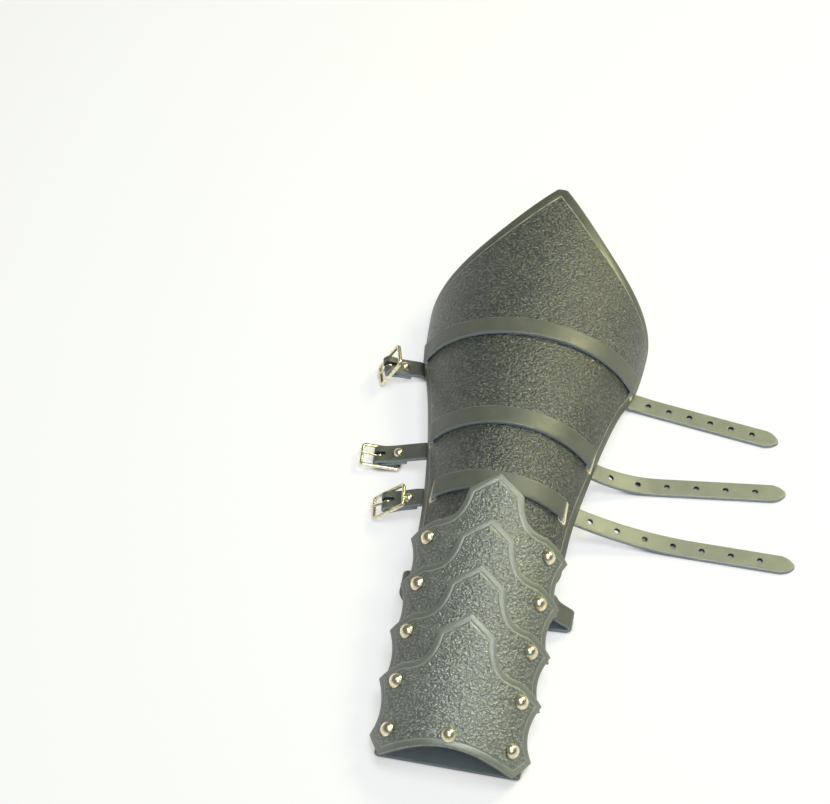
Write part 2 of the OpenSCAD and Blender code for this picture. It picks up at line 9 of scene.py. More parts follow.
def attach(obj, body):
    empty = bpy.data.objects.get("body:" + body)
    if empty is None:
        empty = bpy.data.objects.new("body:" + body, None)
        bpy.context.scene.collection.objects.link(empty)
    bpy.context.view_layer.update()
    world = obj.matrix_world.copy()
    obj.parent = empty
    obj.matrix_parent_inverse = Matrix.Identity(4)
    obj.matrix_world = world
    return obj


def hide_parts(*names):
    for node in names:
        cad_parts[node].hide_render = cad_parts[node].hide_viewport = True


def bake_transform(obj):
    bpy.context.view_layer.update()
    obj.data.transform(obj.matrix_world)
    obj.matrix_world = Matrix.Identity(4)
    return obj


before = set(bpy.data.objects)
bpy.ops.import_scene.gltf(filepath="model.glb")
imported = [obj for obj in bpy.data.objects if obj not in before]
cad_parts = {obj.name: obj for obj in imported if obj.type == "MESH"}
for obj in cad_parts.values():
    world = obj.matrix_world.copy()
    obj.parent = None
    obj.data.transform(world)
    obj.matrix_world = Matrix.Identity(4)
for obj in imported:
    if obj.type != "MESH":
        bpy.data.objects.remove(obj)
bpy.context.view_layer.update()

# Leather forearm bracer lying open on a table. The shape formulas are in millimetres and
# follow the part's source; meshes are written in metres.
MM = 0.001

# ---- Camera, as fitted to the photograph of 830 x 804 pixels
FRAME_W = 830
FOCAL_PX = 2200
SENSOR = 36
CLIP_NEAR, CLIP_FAR = 0.05, 50
CAM_AZIMUTH, CAM_ELEVATION, CAM_DISTANCE = 11.3, 52.0, 1.474
CAM_TARGET = Vector((-0.0724, 0.091, 0.0))


def add_aimed(data, target, azimuth, elevation, distance):
    """A camera or lamp that looks at the target: along +Y at azimuth 0, along -X at 90."""
    a, e = math.radians(azimuth), math.radians(elevation)
    back = Vector((math.sin(a) * math.cos(e), -math.cos(a) * math.cos(e), math.sin(e)))
    obj = bpy.data.objects.new(data.name, data)
    obj.location = target + back * distance
    obj.rotation_euler = (-back).to_track_quat("-Z", "Y").to_euler()
    bpy.context.scene.collection.objects.link(obj)
    return obj


def add_camera():
    data = bpy.data.cameras.new("camera")
    data.sensor_width = SENSOR
    data.lens = FOCAL_PX / FRAME_W * SENSOR
    data.clip_start, data.clip_end = CLIP_NEAR, CLIP_FAR
    bpy.context.scene.camera = add_aimed(data, CAM_TARGET, CAM_AZIMUTH, CAM_ELEVATION, CAM_DISTANCE)


add_camera()

# ---- Sizes shared with the part's source
SHELL_T = 3.5
WRIST_HALF, ELBOW_HALF = 50, 75.5
FLARE_Y, FLARE_RUN = 78, 30
CROWN_H, CROWN_DROP, CROWN_Y = 60, 15, 130
ELBOW_REACH, HAND_REACH, HAND_CORNER_R = 250, 58, 20
CROWN_RUN = CROWN_Y + HAND_REACH - 12
GABLE_SLOPE, GABLE_SWELL, GABLE_LEN, GABLE_BLEND, TIP_HALF = 0.67, 16, 70, 9, 3
EDGE_TURN, EDGE_Y, EDGE_RUN = (87.5, 72.5, 64), (107, 10), (9, 12)
STRAP_W, STRAP_T = 12.7, 2.5
STRAP_Y = (118, 45, -3)
SLOT_ANGLE = (75.5, 63, 50)
SLOT_W, SLOT_END = 5.9, 0.75
TAIL_LEN, TAIL_TURN, TAIL_HOLES, TAIL_FALL = (98, 123, 137), (-8, 7.5, 0), (6, 6, 7), (6, 30, 21)
FIRST_HOLE, HOLE_PITCH, HOLE_D, TIP_LEN = (8.5, 9.5, 5), (14.2, 19, 18.5), 3.6, 9
TAB_LEN, TAB_TURN, TAB_RISE = (23, 31, 21), (16, 5, 9), (20, -16.4, -14)
FRAME_TILT, TAB_RIVET_BACK = (-80, 23, -27), (10.5, 14, 14.5)
BAR_D, BUCKLE_IN_W, BUCKLE_OUT, BUCKLE_IN, PRONG_D = 2.2, 13.6, 11.3, 14, 1.8
FRAME_T = BAR_D + 0.2
SEAT, BAR_FIT, FOLD_FIT, LAYER_GAP, FOLD_PAST, FOLD_EASE = 0.3, 0.05, 0.1, 0.2, 5, 7
CROSS_RUN, HINGE_OUT, INNER_STEP, OVER_STEPS = 4, 4.9, 5, 9
INNER_END, TURN_IN, TURN_DOWN = -4, (2.9, 1), (0.9, 2.2)
INNER_EASE = 0.5
TAIL_SHIFT, TAB_SHIFT = (-1, 1.5, 10), (-3.3, -3.5, 6)
PLATE_T, PLATE_R, PLATE_TAPER, PLATE_PITCH = 3.5, 60, 0.15, 32.7
PIVOT_DOWN, PIVOT_SIDE, FIRST_SLOPE, SLOPE_STEP = 45.2, 39.7, 12.5, 1.5
PIVOT_GAP, PIVOT_TAIL, LAST_LEN, BOTTOM_RISE, HIDDEN_RISE = 0.95, 5, 90, 8, 2
FINGER_DOWN, PEAK_Y, PEAK_ROOM, SIDE_SPREAD = 74.6, -0.6, 0.6, 5
CAP_D, CAP_H, TAB_CAP_D, POST_D, BACK_D, BACK_H = 9.6, 3.4, 7, 3.2, 8.4, 1.6
CAP_LIFT, BACK_ROOM, FIRST_GAP, FINGER_ROOM, TILT_ROOM = 0.2, 0.85, 2.6, 0.8, 0.22
POST_FIT, TILT_SHARE = 0.05, 0.8
PALM_REACH, PALM_BACK, PALM_DROP, PALM_LEAN, PALM_FLAT = 57, 49.5, 0.45, 0.1, 4
PALM_WRAP = [(28, 0), (34, 0), (40, 0), (46, 5), (52, 10), (56, 12)]
PALM_LEFT = [(2.8, 17.9, 13), (0.6, 16.2, 13.3), (0, 13.6, 13), (0.9, 9.6, 12.3), (3.5, 5.6, 11),
             (7.5, 2.6, 9), (12.5, STRAP_T / 2, 7)]
PALM_RIGHT = [(10, 14.2, 12), (7, 11.2, 12), (3.4, 8.6, 12), (0.6, 6.2, 12), (0.2, 3.9, 12),
              (2.4, 1.9, 12), (6.5, 1.3, 12), (14, STRAP_T / 2, 11.5)]
FINGER_WRAP, FINGER_LEAN, FINGER_STEPS, FINGER_DROP = 54, 34, 6, 0.15
NAMES = ("upper", "middle", "wrist")
SIDES = (-1, 1)
STRAP_EDGES = (-0.5, 0.5)


def cos(a):
    return np.cos(np.radians(a))


def sin(a):
    return np.sin(np.radians(a))


def spun(x, y, angle):
    return x * cos(angle) - y * sin(angle), x * sin(angle) + y * cos(angle)


def circle_points(n):
    """n points round the unit circle."""
    return [(math.cos(2 * math.pi * i / n), math.sin(2 * math.pi * i / n)) for i in range(n)]


# ---- Curves of the shell
def step_up(v):
    return 1 / (1 + np.exp(-v))


def half_w(y):
    return WRIST_HALF + (ELBOW_HALF - WRIST_HALF) * step_up((y - FLARE_Y) / FLARE_RUN)


def crown(y):
    return CROWN_H - CROWN_DROP * (np.abs(y - CROWN_Y) / CROWN_RUN) ** 3


def mean_r(y):
    return (half_w(y) + crown(y)) / 2


def edge_angle(y):
    side = (EDGE_TURN[1]
            + (EDGE_TURN[0] - EDGE_TURN[1]) * step_up((y - EDGE_Y[0]) / EDGE_RUN[0])
            - (EDGE_TURN[1] - EDGE_TURN[2]) * step_up((EDGE_Y[1] - y) / EDGE_RUN[1]))
    u = ELBOW_REACH - y
    gable = np.degrees((TIP_HALF + GABLE_SLOPE * u + GABLE_SWELL * (u / GABLE_LEN) ** 4) / mean_r(y))
    low = (side + gable - np.sqrt((side - gable) ** 2 + GABLE_BLEND ** 2)) / 2
    d = np.minimum(HAND_CORNER_R, y + HAND_REACH) - HAND_CORNER_R
    cut = np.degrees((HAND_CORNER_R - np.sqrt(HAND_CORNER_R ** 2 - d * d)) / mean_r(y))
    return low - cut


def skin(y, a, n):
    w, h = half_w(y), crown(y)
    ux, uz = sin(a) / w, cos(a) / h
    size = np.sqrt(ux * ux + uz * uz)
    return np.array([w * sin(a) + n * ux / size, h * cos(a) + n * uz / size])


def skin_lean(y, a):
    return math.degrees(math.atan2(sin(a) / half_w(y), cos(a) / crown(y)))


def place_shell(u, v, n):
    x, z = skin(v, np.degrees(u / mean_r(v)), n)
    return np.stack([x, v, z], 1)


# ---- Curves of the hand plates
def slope_of(k):
    return FIRST_SLOPE + SLOPE_STEP * k


def down_dir(k):
    return np.array([0, -cos(slope_of(k)), -sin(slope_of(k))])


def peak_of(k):
    if k == 0:
        lift = crown(PEAK_Y) + SHELL_T / 2 + STRAP_T + 2 * SEAT + PLATE_T / 2 + PEAK_ROOM
        return np.array([0, PEAK_Y, lift])
    down = down_dir(k - 1)
    out = down[[0, 2, 1]] * [1, 1, -1]
    return (peak_of(k - 1) + (PIVOT_DOWN + PLATE_PITCH) * down + (PLATE_T + PIVOT_GAP) * out
            - PIVOT_DOWN * down_dir(k))


def plate_r(d):
    return PLATE_R - PLATE_TAPER * (d - PIVOT_DOWN)


def bent(w, d, n):
    r = plate_r(d)
    a = w / r
    return (r + n) * np.sin(a), -d, (r + n) * np.cos(a) - r


def place_plate(k):
    peak, s = peak_of(k), slope_of(k)

    def place(w, d, n):
        x, y, z = bent(w, d, n)
        return np.stack([x, peak[1] + y * cos(s) - z * sin(s), peak[2] + y * sin(s) + z * cos(s)], 1)
    return place


def plate_skin(k, w, y, n):
    """(x, z) of a plate's skin at w round its arc, where it crosses y."""
    peak, s = peak_of(k), slope_of(k)
    d = peak[1] - y
    for _ in range(6):
        d = (peak[1] - y - bent(w, d, n)[2] * sin(s)) / cos(s)
    p = bent(w, d, n)
    return np.array([p[0], peak[2] - d * sin(s) + p[2] * cos(s)])


# ---- Lines and distances in the plane
TINY, CHUNK = 1e-12, 2000
# a corner that turns right by more radians than HOLLOW gets a fan, and others reach MITRE at most
HOLLOW, MITRE = -0.2, 3
LATTICE = 64
GRAIN_LAYERS = ((3, 15, 1.0), (5, 62, 0.75), (8, -28, 1.5))
GRAIN_SPREAD = 1.6


def unit(v):
    return v / np.maximum(np.linalg.norm(v, axis=-1, keepdims=True), TINY)


def run_along(p):
    """How far along the line each of its points lies."""
    return np.concatenate([[0], np.cumsum(np.linalg.norm(np.diff(p, axis=0), axis=1))])


def resampled(points, step):
    """The polyline at even steps, both ends kept."""
    p = np.asarray(points, float)
    s = run_along(p)
    n = max(1, int(round(s[-1] / step)))
    t = np.linspace(0, s[-1], n + 1)
    return np.stack([np.interp(t, s, p[:, i]) for i in range(p.shape[1])], 1)


def spline(points, per=12):
    """A smooth line through the points, of any dimension."""
    p = np.asarray(points, float)
    p = np.concatenate([[2 * p[0] - p[1]], p, [2 * p[-1] - p[-2]]])

    def between(t, ta, tb, a, b):
        return (tb - t) / (tb - ta) * a + (t - ta) / (tb - ta) * b
    out = []
    for i in range(1, len(p) - 2):
        t0, t1, t2, t3 = np.cumsum([0] + [max(np.linalg.norm(p[i + j] - p[i + j - 1]), 1e-6) ** 0.5
                                          for j in range(3)])
        for t in np.linspace(t1, t2, per, endpoint=False):
            a1 = between(t, t0, t1, p[i - 1], p[i])
            a2 = between(t, t1, t2, p[i], p[i + 1])
            a3 = between(t, t2, t3, p[i + 1], p[i + 2])
            out.append(between(t, t1, t2, between(t, t0, t2, a1, a2), between(t, t1, t3, a2, a3)))
    return np.array(out + [p[-2]])


def closed_loop(segments, step):
    """One closed outline from segments that meet at corners, running counterclockwise."""
    loop = np.concatenate([resampled(s, step)[:-1] for s in segments])
    x, y = loop[:, 0], loop[:, 1]
    area = np.sum(x * np.roll(y, -1) - np.roll(x, -1) * y)
    return loop if area > 0 else loop[::-1]


def distance_to(loops, pts):
    best = np.full(len(pts), np.inf)
    for a in loops:
        ab = np.roll(a, -1, axis=0) - a
        size = np.maximum((ab ** 2).sum(1), TINY)
        for i in range(0, len(pts), CHUNK):
            q = pts[i:i + CHUNK, None, :] - a[None]
            t = np.clip((q * ab).sum(2) / size, 0, 1)
            d = np.linalg.norm(q - t[..., None] * ab, axis=2).min(1)
            best[i:i + CHUNK] = np.minimum(best[i:i + CHUNK], d)
    return best


def inside(loop, pts):
    result = np.zeros(len(pts), bool)
    (ax, ay), (bx, by) = loop.T, np.roll(loop, -1, axis=0).T
    lean = (bx - ax) / np.where(np.abs(by - ay) < TINY, TINY, by - ay)
    for i in range(0, len(pts), CHUNK):
        x, y = pts[i:i + CHUNK].T[..., None]
        crossed = ((ay > y) != (by > y)) & (x < ax + (y - ay) * lean)
        result[i:i + CHUNK] = crossed.sum(1) % 2 == 1
    return result


def in_sheet(outline, holes, pts):
    found = inside(outline, pts)
    for hole in holes:
        found &= ~inside(hole, pts)
    return found


def ring(loop, d, step):
    """Points at distance d on the left of a closed loop, with fans at its hollow corners."""
    e0 = unit(loop - np.roll(loop, 1, axis=0))
    e1 = unit(np.roll(loop, -1, axis=0) - loop)
    out = []
    for p, a, b in zip(loop, e0, e1):
        turn = math.atan2(a[0] * b[1] - a[1] * b[0], a @ b)
        na = math.atan2(a[0], -a[1])
        if turn < HOLLOW:
            m = max(2, int(-turn * d / step))
            out += [p + d * np.array([math.cos(na + turn * i / m), math.sin(na + turn * i / m)])
                    for i in range(m + 1)]
        else:
            h = na + turn / 2
            reach = min(d / math.cos(turn / 2), MITRE * d)
            out.append(p + reach * np.array([math.cos(h), math.sin(h)]))
    return np.array(out)


def round_over(d, r):
    return r - np.sqrt(np.maximum(r * r - (r - np.minimum(d, r)) ** 2, 0))


def lattice(points, size, seed):
    """Smooth noise between -1 and 1 over the plane, from values on a square lattice."""
    table = np.random.default_rng(seed).uniform(-1, 1, (LATTICE, LATTICE))
    p = points / size
    i = np.floor(p).astype(int)
    f = p - i
    f = f * f * (3 - 2 * f)
    (ax, ay), (bx, by), (fx, fy) = (i % LATTICE).T, ((i + 1) % LATTICE).T, f.T
    low = table[ax, ay] * (1 - fx) + table[bx, ay] * fx
    high = table[ax, by] * (1 - fx) + table[bx, by] * fx
    return low * (1 - fy) + high * fy


def lumps(points, size, stretch):
    """The coarse grain pressed into the leather: three layers turned against each other."""
    total = np.zeros(len(points))
    for seed, turn, scale in GRAIN_LAYERS:
        across = np.stack(spun(points[:, 0] / stretch, points[:, 1], turn), 1)
        total += lattice(across, size * scale, seed)
    return total / GRAIN_SPREAD


# ---- Meshes
SHARP = math.radians(50)


def mesh_object(name, verts, faces, materials):
    mesh = bpy.data.meshes.new(name)
    mesh.from_pydata([tuple(v) for v in verts], [], faces)
    for material in materials:
        mesh.materials.append(material)
    obj = bpy.data.objects.new(name, mesh)
    bpy.context.scene.collection.objects.link(obj)
    return obj


def smooth(mesh):
    mesh.update()
    mesh.shade_smooth()
    mesh.set_sharp_from_angle(angle=SHARP)


# ---- Leather cut from a sheet: an outline with holes, mapped on a surface and given its thickness
GRAIN, FLESH, EDGE, CUT = range(4)
HOLE_STEP, HOLE_EDGE_R = 0.5, 0.35
HOLE_REACH = [0.3 * HOLE_EDGE_R, HOLE_EDGE_R, HOLE_EDGE_R + 0.6]
ROW_PITCH, NEARLY, MERGE = 0.866, 0.97, 1e-5
NO_HOLES, FLESH_SHIFT, CIRCLE_MIN = 99.0, 3.7, 14


def inner_points(outline, holes, reach, step, field):
    """Points of the sheet: rows along its edges, at the distances in reach, and an even field."""
    rows = []
    for d in reach:
        q = ring(outline, d, step)
        rows.append(q[(distance_to([outline], q) > NEARLY * d) & inside(outline, q)])
    for hole in holes:
        for d in HOLE_REACH:
            q = ring(hole[::-1], d, HOLE_STEP)
            rows.append(q[distance_to([hole], q) > NEARLY * d])
    low, high = outline.min(0), outline.max(0)
    grid = []
    for i, y in enumerate(np.arange(low[1], high[1], field * ROW_PITCH)):
        x = np.arange(low[0] + (i % 2) * field / 2, high[0], field)
        grid.append(np.stack([x, np.full(len(x), y)], 1))
    grid = np.concatenate(grid)
    grid = grid[inside(outline, grid)]
    grid = grid[distance_to([outline], grid) > reach[-1] + 0.35 * field]
    pts = np.concatenate(rows + [grid])
    if holes:
        near = distance_to(holes, pts)
        clear = near > HOLE_REACH[-1] + 0.3 * field
        on_row = np.isclose(near[:, None], HOLE_REACH, rtol=0.03, atol=0.01).any(1)
        pts = pts[in_sheet(outline, holes, pts) & (clear | on_row)
                  & (distance_to([outline], pts) > 0.05)]
    return pts


def triangulated(outline, holes, pts):
    """The sheet's points and its triangles, all counterclockwise, and each loop as indices."""
    loops = [outline] + [hole[::-1] for hole in holes]
    starts = np.cumsum([0] + [len(loop) for loop in loops])
    rows = [list(range(a, b)) for a, b in zip(starts, starts[1:])]
    edges = [edge for row in rows for edge in zip(row, row[1:] + row[:1])]
    pts = np.concatenate(loops + [pts])
    found = delaunay_2d_cdt([tuple(p) for p in pts], edges, [], 0, MERGE, True)
    flat, tris = np.array([tuple(v) for v in found[0]]), np.array(found[2])
    to_new = {old: i for i, olds in enumerate(found[3]) for old in olds}
    rows = [[to_new[i] for i in row] for row in rows]

    # triangles between points of the loops may lie outside of the sheet
    on_loop = np.zeros(len(flat), bool)
    on_loop[np.concatenate(rows)] = True
    doubtful = on_loop[tris].all(1)
    keep = ~doubtful
    keep[doubtful] = in_sheet(outline, holes, flat[tris[doubtful]].mean(1))
    tris = tris[keep]
    (ax, ay), (bx, by), (cx, cy) = (flat[tris[:, i]].T for i in range(3))
    turn = (bx - ax) * (cy - ay) - (by - ay) * (cx - ax)
    tris[turn < 0] = tris[turn < 0][:, ::-1]
    return flat, tris, rows


def leather_piece(name, outline, holes, place, thickness, materials, step, field, edge_r,
                  back_r=0.4, groove=None, grain=None, lip=0.0):
    """A leather piece. materials: grain side, flesh side, outer edge, edge of the holes.
    groove is (distance from the edge, half width, depth, drop of the border), or None.
    grain is (size, stretch, height) of the relief inside the groove, and lip the width of the
    undyed leather round the holes."""
    reach = [0.12 * edge_r, 0.4 * edge_r, edge_r]
    if groove:
        at, half, depth, drop = groove
        reach += [(edge_r + at - half) / 2, at - half, at - half / 2, at, at + half / 2, at + half,
                  at + 2 * half]
    pts = inner_points(outline, holes, reach, step, field)
    flat, tris, rows = triangulated(outline, holes, pts)

    rim = distance_to([outline], flat)
    slit = distance_to(holes, flat) if holes else np.full(len(flat), NO_HOLES)
    top = thickness / 2 - round_over(rim, edge_r) - round_over(slit, HOLE_EDGE_R)
    if groove:
        notch = np.where(np.abs(rim - at) < half, 0.5 + 0.5 * np.cos(np.pi * (rim - at) / half), 0)
        top -= depth * notch + drop * (rim < at)
    if grain:
        size, stretch, height = grain
        share = np.clip((rim - at - 0.4) / 0.9, 0, 1) * np.clip((slit - 0.6) / 1.5, 0, 1)
        top += height * share * lumps(flat, size, stretch)
    low = -thickness / 2 + round_over(rim, back_r) + round_over(slit, HOLE_EDGE_R)
    n = len(flat)
    verts = np.concatenate([place(flat[:, 0], flat[:, 1], height) for height in (top, low)])
    verts[:, 2] = np.maximum(verts[:, 2], 0)

    # turn the triangles so that their normals point out of the leather
    t = tris[len(tris) // 2]
    normal = np.cross(verts[t[1]] - verts[t[0]], verts[t[2]] - verts[t[0]])
    outward = (verts[t[0]] - verts[t[0] + n]) @ normal > 0
    if not outward:
        tris = tris[:, ::-1]
    faces = [tuple(f) for f in np.concatenate([tris, tris[:, ::-1] + n]).tolist()]
    index = np.where(slit[tris].max(1) < lip, CUT, GRAIN).tolist() + [FLESH] * len(tris)
    for part, row in zip([EDGE] + [CUT] * len(holes), rows):
        for p, q in zip(row, row[1:] + row[:1]):
            if p != q:
                face = (q, p, p + n, q + n)
                faces.append(face if outward else face[::-1])
                index.append(part)

    # for the shaders: rim in mm, and flat in cm, shifted on the flesh side for clouds of its own
    obj = mesh_object(name, verts * MM, faces, materials)
    att = obj.data.attributes.new("rim", "FLOAT", "POINT")
    att.data.foreach_set("value", np.tile(rim, 2).astype(np.float32))
    spots = np.concatenate([np.c_[flat / 10, np.full(n, shift)] for shift in (0, FLESH_SHIFT)])
    att = obj.data.attributes.new("flat", "FLOAT_VECTOR", "POINT")
    att.data.foreach_set("vector", spots.astype(np.float32).ravel())
    obj.data.polygons.foreach_set("material_index", index)
    smooth(obj.data)
    return obj


def circle(x, y, r):
    n = max(CIRCLE_MIN, int(2 * math.pi * r / HOLE_STEP))
    return np.array([[x + r * c, y + r * s] for c, s in circle_points(n)])


def rounded_box(low, high, r, step, per=7):
    """A box with round corners. low and high are corners of the box between their centres."""
    turn = 90 / (per - 1)
    (x0, y0), (x1, y1) = low, high
    spots = ((x1, y1, 0), (x0, y1, 90), (x0, y0, 180), (x1, y0, 270))
    pts = [(x + r * cos(start + turn * i), y + r * sin(start + turn * i))
           for x, y, start in spots for i in range(per)]
    return closed_loop([pts + pts[:1]], step)


# ---- Straps: a ribbon between two lines in space, one for each long edge
RIBBON_PER = 10
OUTLINE_STEP, TIP_BLUNT, TIP_HALF_W = 1.2, 0.5, 0.36 * STRAP_W
OUT_N = SHELL_T / 2 + SEAT + STRAP_T / 2


def ribbon_place(line_a, line_b, side=1):
    """Maps (s along, w across, n out) to space. Returns the map, the length and each station's s."""
    both = spline(np.concatenate([line_a, line_b], 1), RIBBON_PER)
    a, b = both[:, :3], both[:, 3:]
    mid = (a + b) / 2
    s = run_along(mid)
    t = unit(np.gradient(mid, s, axis=0))
    n = side * unit(np.cross(t, unit(b - a)))
    for _ in range(2):
        n[1:-1] = unit(n[:-2] + 2 * n[1:-1] + n[2:])

    def place(u, w, off):
        share = w / STRAP_W + 0.5
        out = []
        for i in range(3):
            pa, pb = np.interp(u, s, a[:, i]), np.interp(u, s, b[:, i])
            out.append(pa * (1 - share) + pb * share + np.interp(u, s, n[:, i]) * off)
        return np.stack(out, 1)
    return place, s[-1], s[::RIBBON_PER]


def strap_outline(length, tip):
    h = STRAP_W / 2
    back = [[(0, h), (0, -h)]]
    if not tip:
        corners = [(0, -h), (length, -h), (length, h), (0, h)]
        return closed_loop([corners[i:i + 2] for i in range(3)] + back, OUTLINE_STEP)
    full, half = length - tip, length - tip / 2
    curve = spline([(full, -h), (half, -TIP_HALF_W), (length - TIP_BLUNT, 0), (half, TIP_HALF_W),
                    (full, h)], 6)
    return closed_loop([[(0, -h), (full, -h)], curve, [(full, h), (0, h)]] + back, OUTLINE_STEP)


def turned(p, at, turn, rise=0.0):
    """A point of a strap end's own frame (out, across, up) in space."""
    x, y, z = p
    x, z = spun(x, z, rise)
    return np.array([at[0] + x * cos(turn) - y * sin(turn), at[1] + x * sin(turn) + y * cos(turn),
                     at[2] + z])


def exit_angle(y):
    return max(float(edge_angle(y + d * STRAP_W)) for d in (-0.5, 0, 0.5))


def exit_point(y, inward, down):
    a = exit_angle(y)
    lean = skin_lean(y, a)
    return skin(y - STRAP_W / 2, a, -inward) + down * np.array([cos(lean), -sin(lean)])


def hinge_point(y, fall):
    return exit_point(y, TURN_IN[-1], TURN_DOWN[-1]) + HINGE_OUT * np.array([cos(fall), -sin(fall)])


def half_line(k, edge, out_y, side):
    """One long edge of half a strap: over the crown, inside the wall, round the shell's edge."""
    y = STRAP_Y[k] + edge * STRAP_W
    step = math.degrees(CROSS_RUN / 2 / mean_r(y))
    top, low = SLOT_ANGLE[k] - step, SLOT_ANGLE[k] + step
    end = exit_angle(out_y) + math.degrees(INNER_END / mean_r(out_y))
    inside_run = math.radians(edge_angle(STRAP_Y[k]) - SLOT_ANGLE[k]) * mean_r(STRAP_Y[k])
    m = max(1, math.floor(inside_run / INNER_STEP) - 1)
    total = out_y - STRAP_Y[k]
    over = [(*skin(y, top * i / OVER_STEPS, OUT_N), y) for i in range(1, OVER_STEPS + 1)]
    inner = []
    for i in range(m + 1):
        here = y + total * i / (m + 1)
        inner.append((*skin(here, low + (end - low) * i / m, -OUT_N - INNER_EASE * i / m), here))
    ends = [(*exit_point(out_y, inward, down), y + total) for inward, down in zip(TURN_IN, TURN_DOWN)]
    return [[np.array([side * x, yy, z]) for x, z, yy in rows] for rows in (over, inner, ends)]


def strap_lines(k):
    """The band's two long edges, and the two lines of its tail and tab up to their hinges."""
    tail_y, tab_y = STRAP_Y[k] + TAIL_SHIFT[k], STRAP_Y[k] + TAB_SHIFT[k]
    band, tail, tab = [], [], []
    for e in STRAP_EDGES:
        y = STRAP_Y[k] + e * STRAP_W
        over_r, in_r, end_r = half_line(k, e, tail_y, 1)
        over_l, in_l, end_l = half_line(k, e, tab_y, -1)
        x, z = skin(y, 0, OUT_N)
        band.append(in_l[::-1] + over_l[::-1] + [np.array([x, y, z])] + over_r + in_r)
        tail.append(in_r[-1:] + end_r)
        tab.append(in_l[-1:] + end_l)
    return band, tail, tab, tail_y, tab_y


# ---- Materials
def shader(name):
    mat = bpy.data.materials.new(name)
    mat.use_nodes = True
    tree = mat.node_tree
    return mat, tree, tree.nodes["Principled BSDF"]


def node(tree, kind, **values):
    """A new node. Each value is set on the node, or else as a constant on its input of that name."""
    n = tree.nodes.new(kind)
    for key, value in values.items():
        if hasattr(n, key):
            setattr(n, key, value)
        else:
            n.inputs[key.replace("_", " ")].default_value = value
    return n


def link(a, b):
    a.id_data.links.new(a, b)


def after(socket, kind, entry, **values):
    """A new node in the socket's tree, with the socket linked to one of its inputs."""
    n = node(socket.id_data, kind, **values)
    link(socket, n.inputs[entry])
    return n


def sheet_values(tree):
    """What leather_piece wrote: the place on the flat sheet, and the distance from its edge."""
    flat, rim = (node(tree, "ShaderNodeAttribute", attribute_name=name) for name in ("flat", "rim"))
    return flat.outputs["Vector"], rim.outputs["Fac"]


def ramp(value, stops):
    n = after(value, "ShaderNodeValToRGB", "Fac")
    while len(n.color_ramp.elements) < len(stops):
        n.color_ramp.elements.new(0.5)
    for e, (pos, colour) in zip(n.color_ramp.elements, stops):
        e.position = pos
        e.color = (*colour, 1)
    return n.outputs["Color"]


def span(value, a, b, c=0.0, d=1.0):
    """The value eased from c to d while it runs from a to b."""
    n = after(value, "ShaderNodeMapRange", "Value", interpolation_type="SMOOTHSTEP",
              From_Min=a, From_Max=b, To_Min=c, To_Max=d)
    return n.outputs["Result"]


def maths(kind, a, b=0.0):
    """One operation on two sockets, or on a socket and a number."""
    n = node((b if isinstance(a, float) else a).id_data, "ShaderNodeMath", operation=kind)
    for entry, v in zip(n.inputs, (a, b)):
        if isinstance(v, (int, float)):
            entry.default_value = v
        else:
            link(v, entry)
    return n.outputs[0]


def times(a, b):
    return maths("MULTIPLY", a, b)


def weighted(*terms):
    """The sum of the values, each times its weight."""
    total = None
    for value, weight in terms:
        part = value if weight == 1 else times(value, weight)
        total = part if total is None else maths("ADD", total, part)
    return total


def mixed(factor, a, colour):
    """A socket's colour mixed with a plain one."""
    n = after(factor, "ShaderNodeMix", 0, data_type="RGBA")
    link(a, n.inputs[6])
    n.inputs[7].default_value = (*colour, 1)
    return n.outputs[2]


def noise(vector, scale, detail=3.0, roughness=0.55, distortion=0.0):
    n = after(vector, "ShaderNodeTexNoise", "Vector", Scale=scale, Detail=detail,
              Roughness=roughness, Distortion=distortion)
    return n.outputs["Fac"]


def bump(height, distance, strength=1.0):
    n = after(height, "ShaderNodeBump", "Height", Strength=strength, Distance=distance)
    return n.outputs["Normal"]


WARP = 0.12
WORN_EDGE_GAIN = 2.2
WEAR_TO = 0.7
WAXED_IOR = 1.6


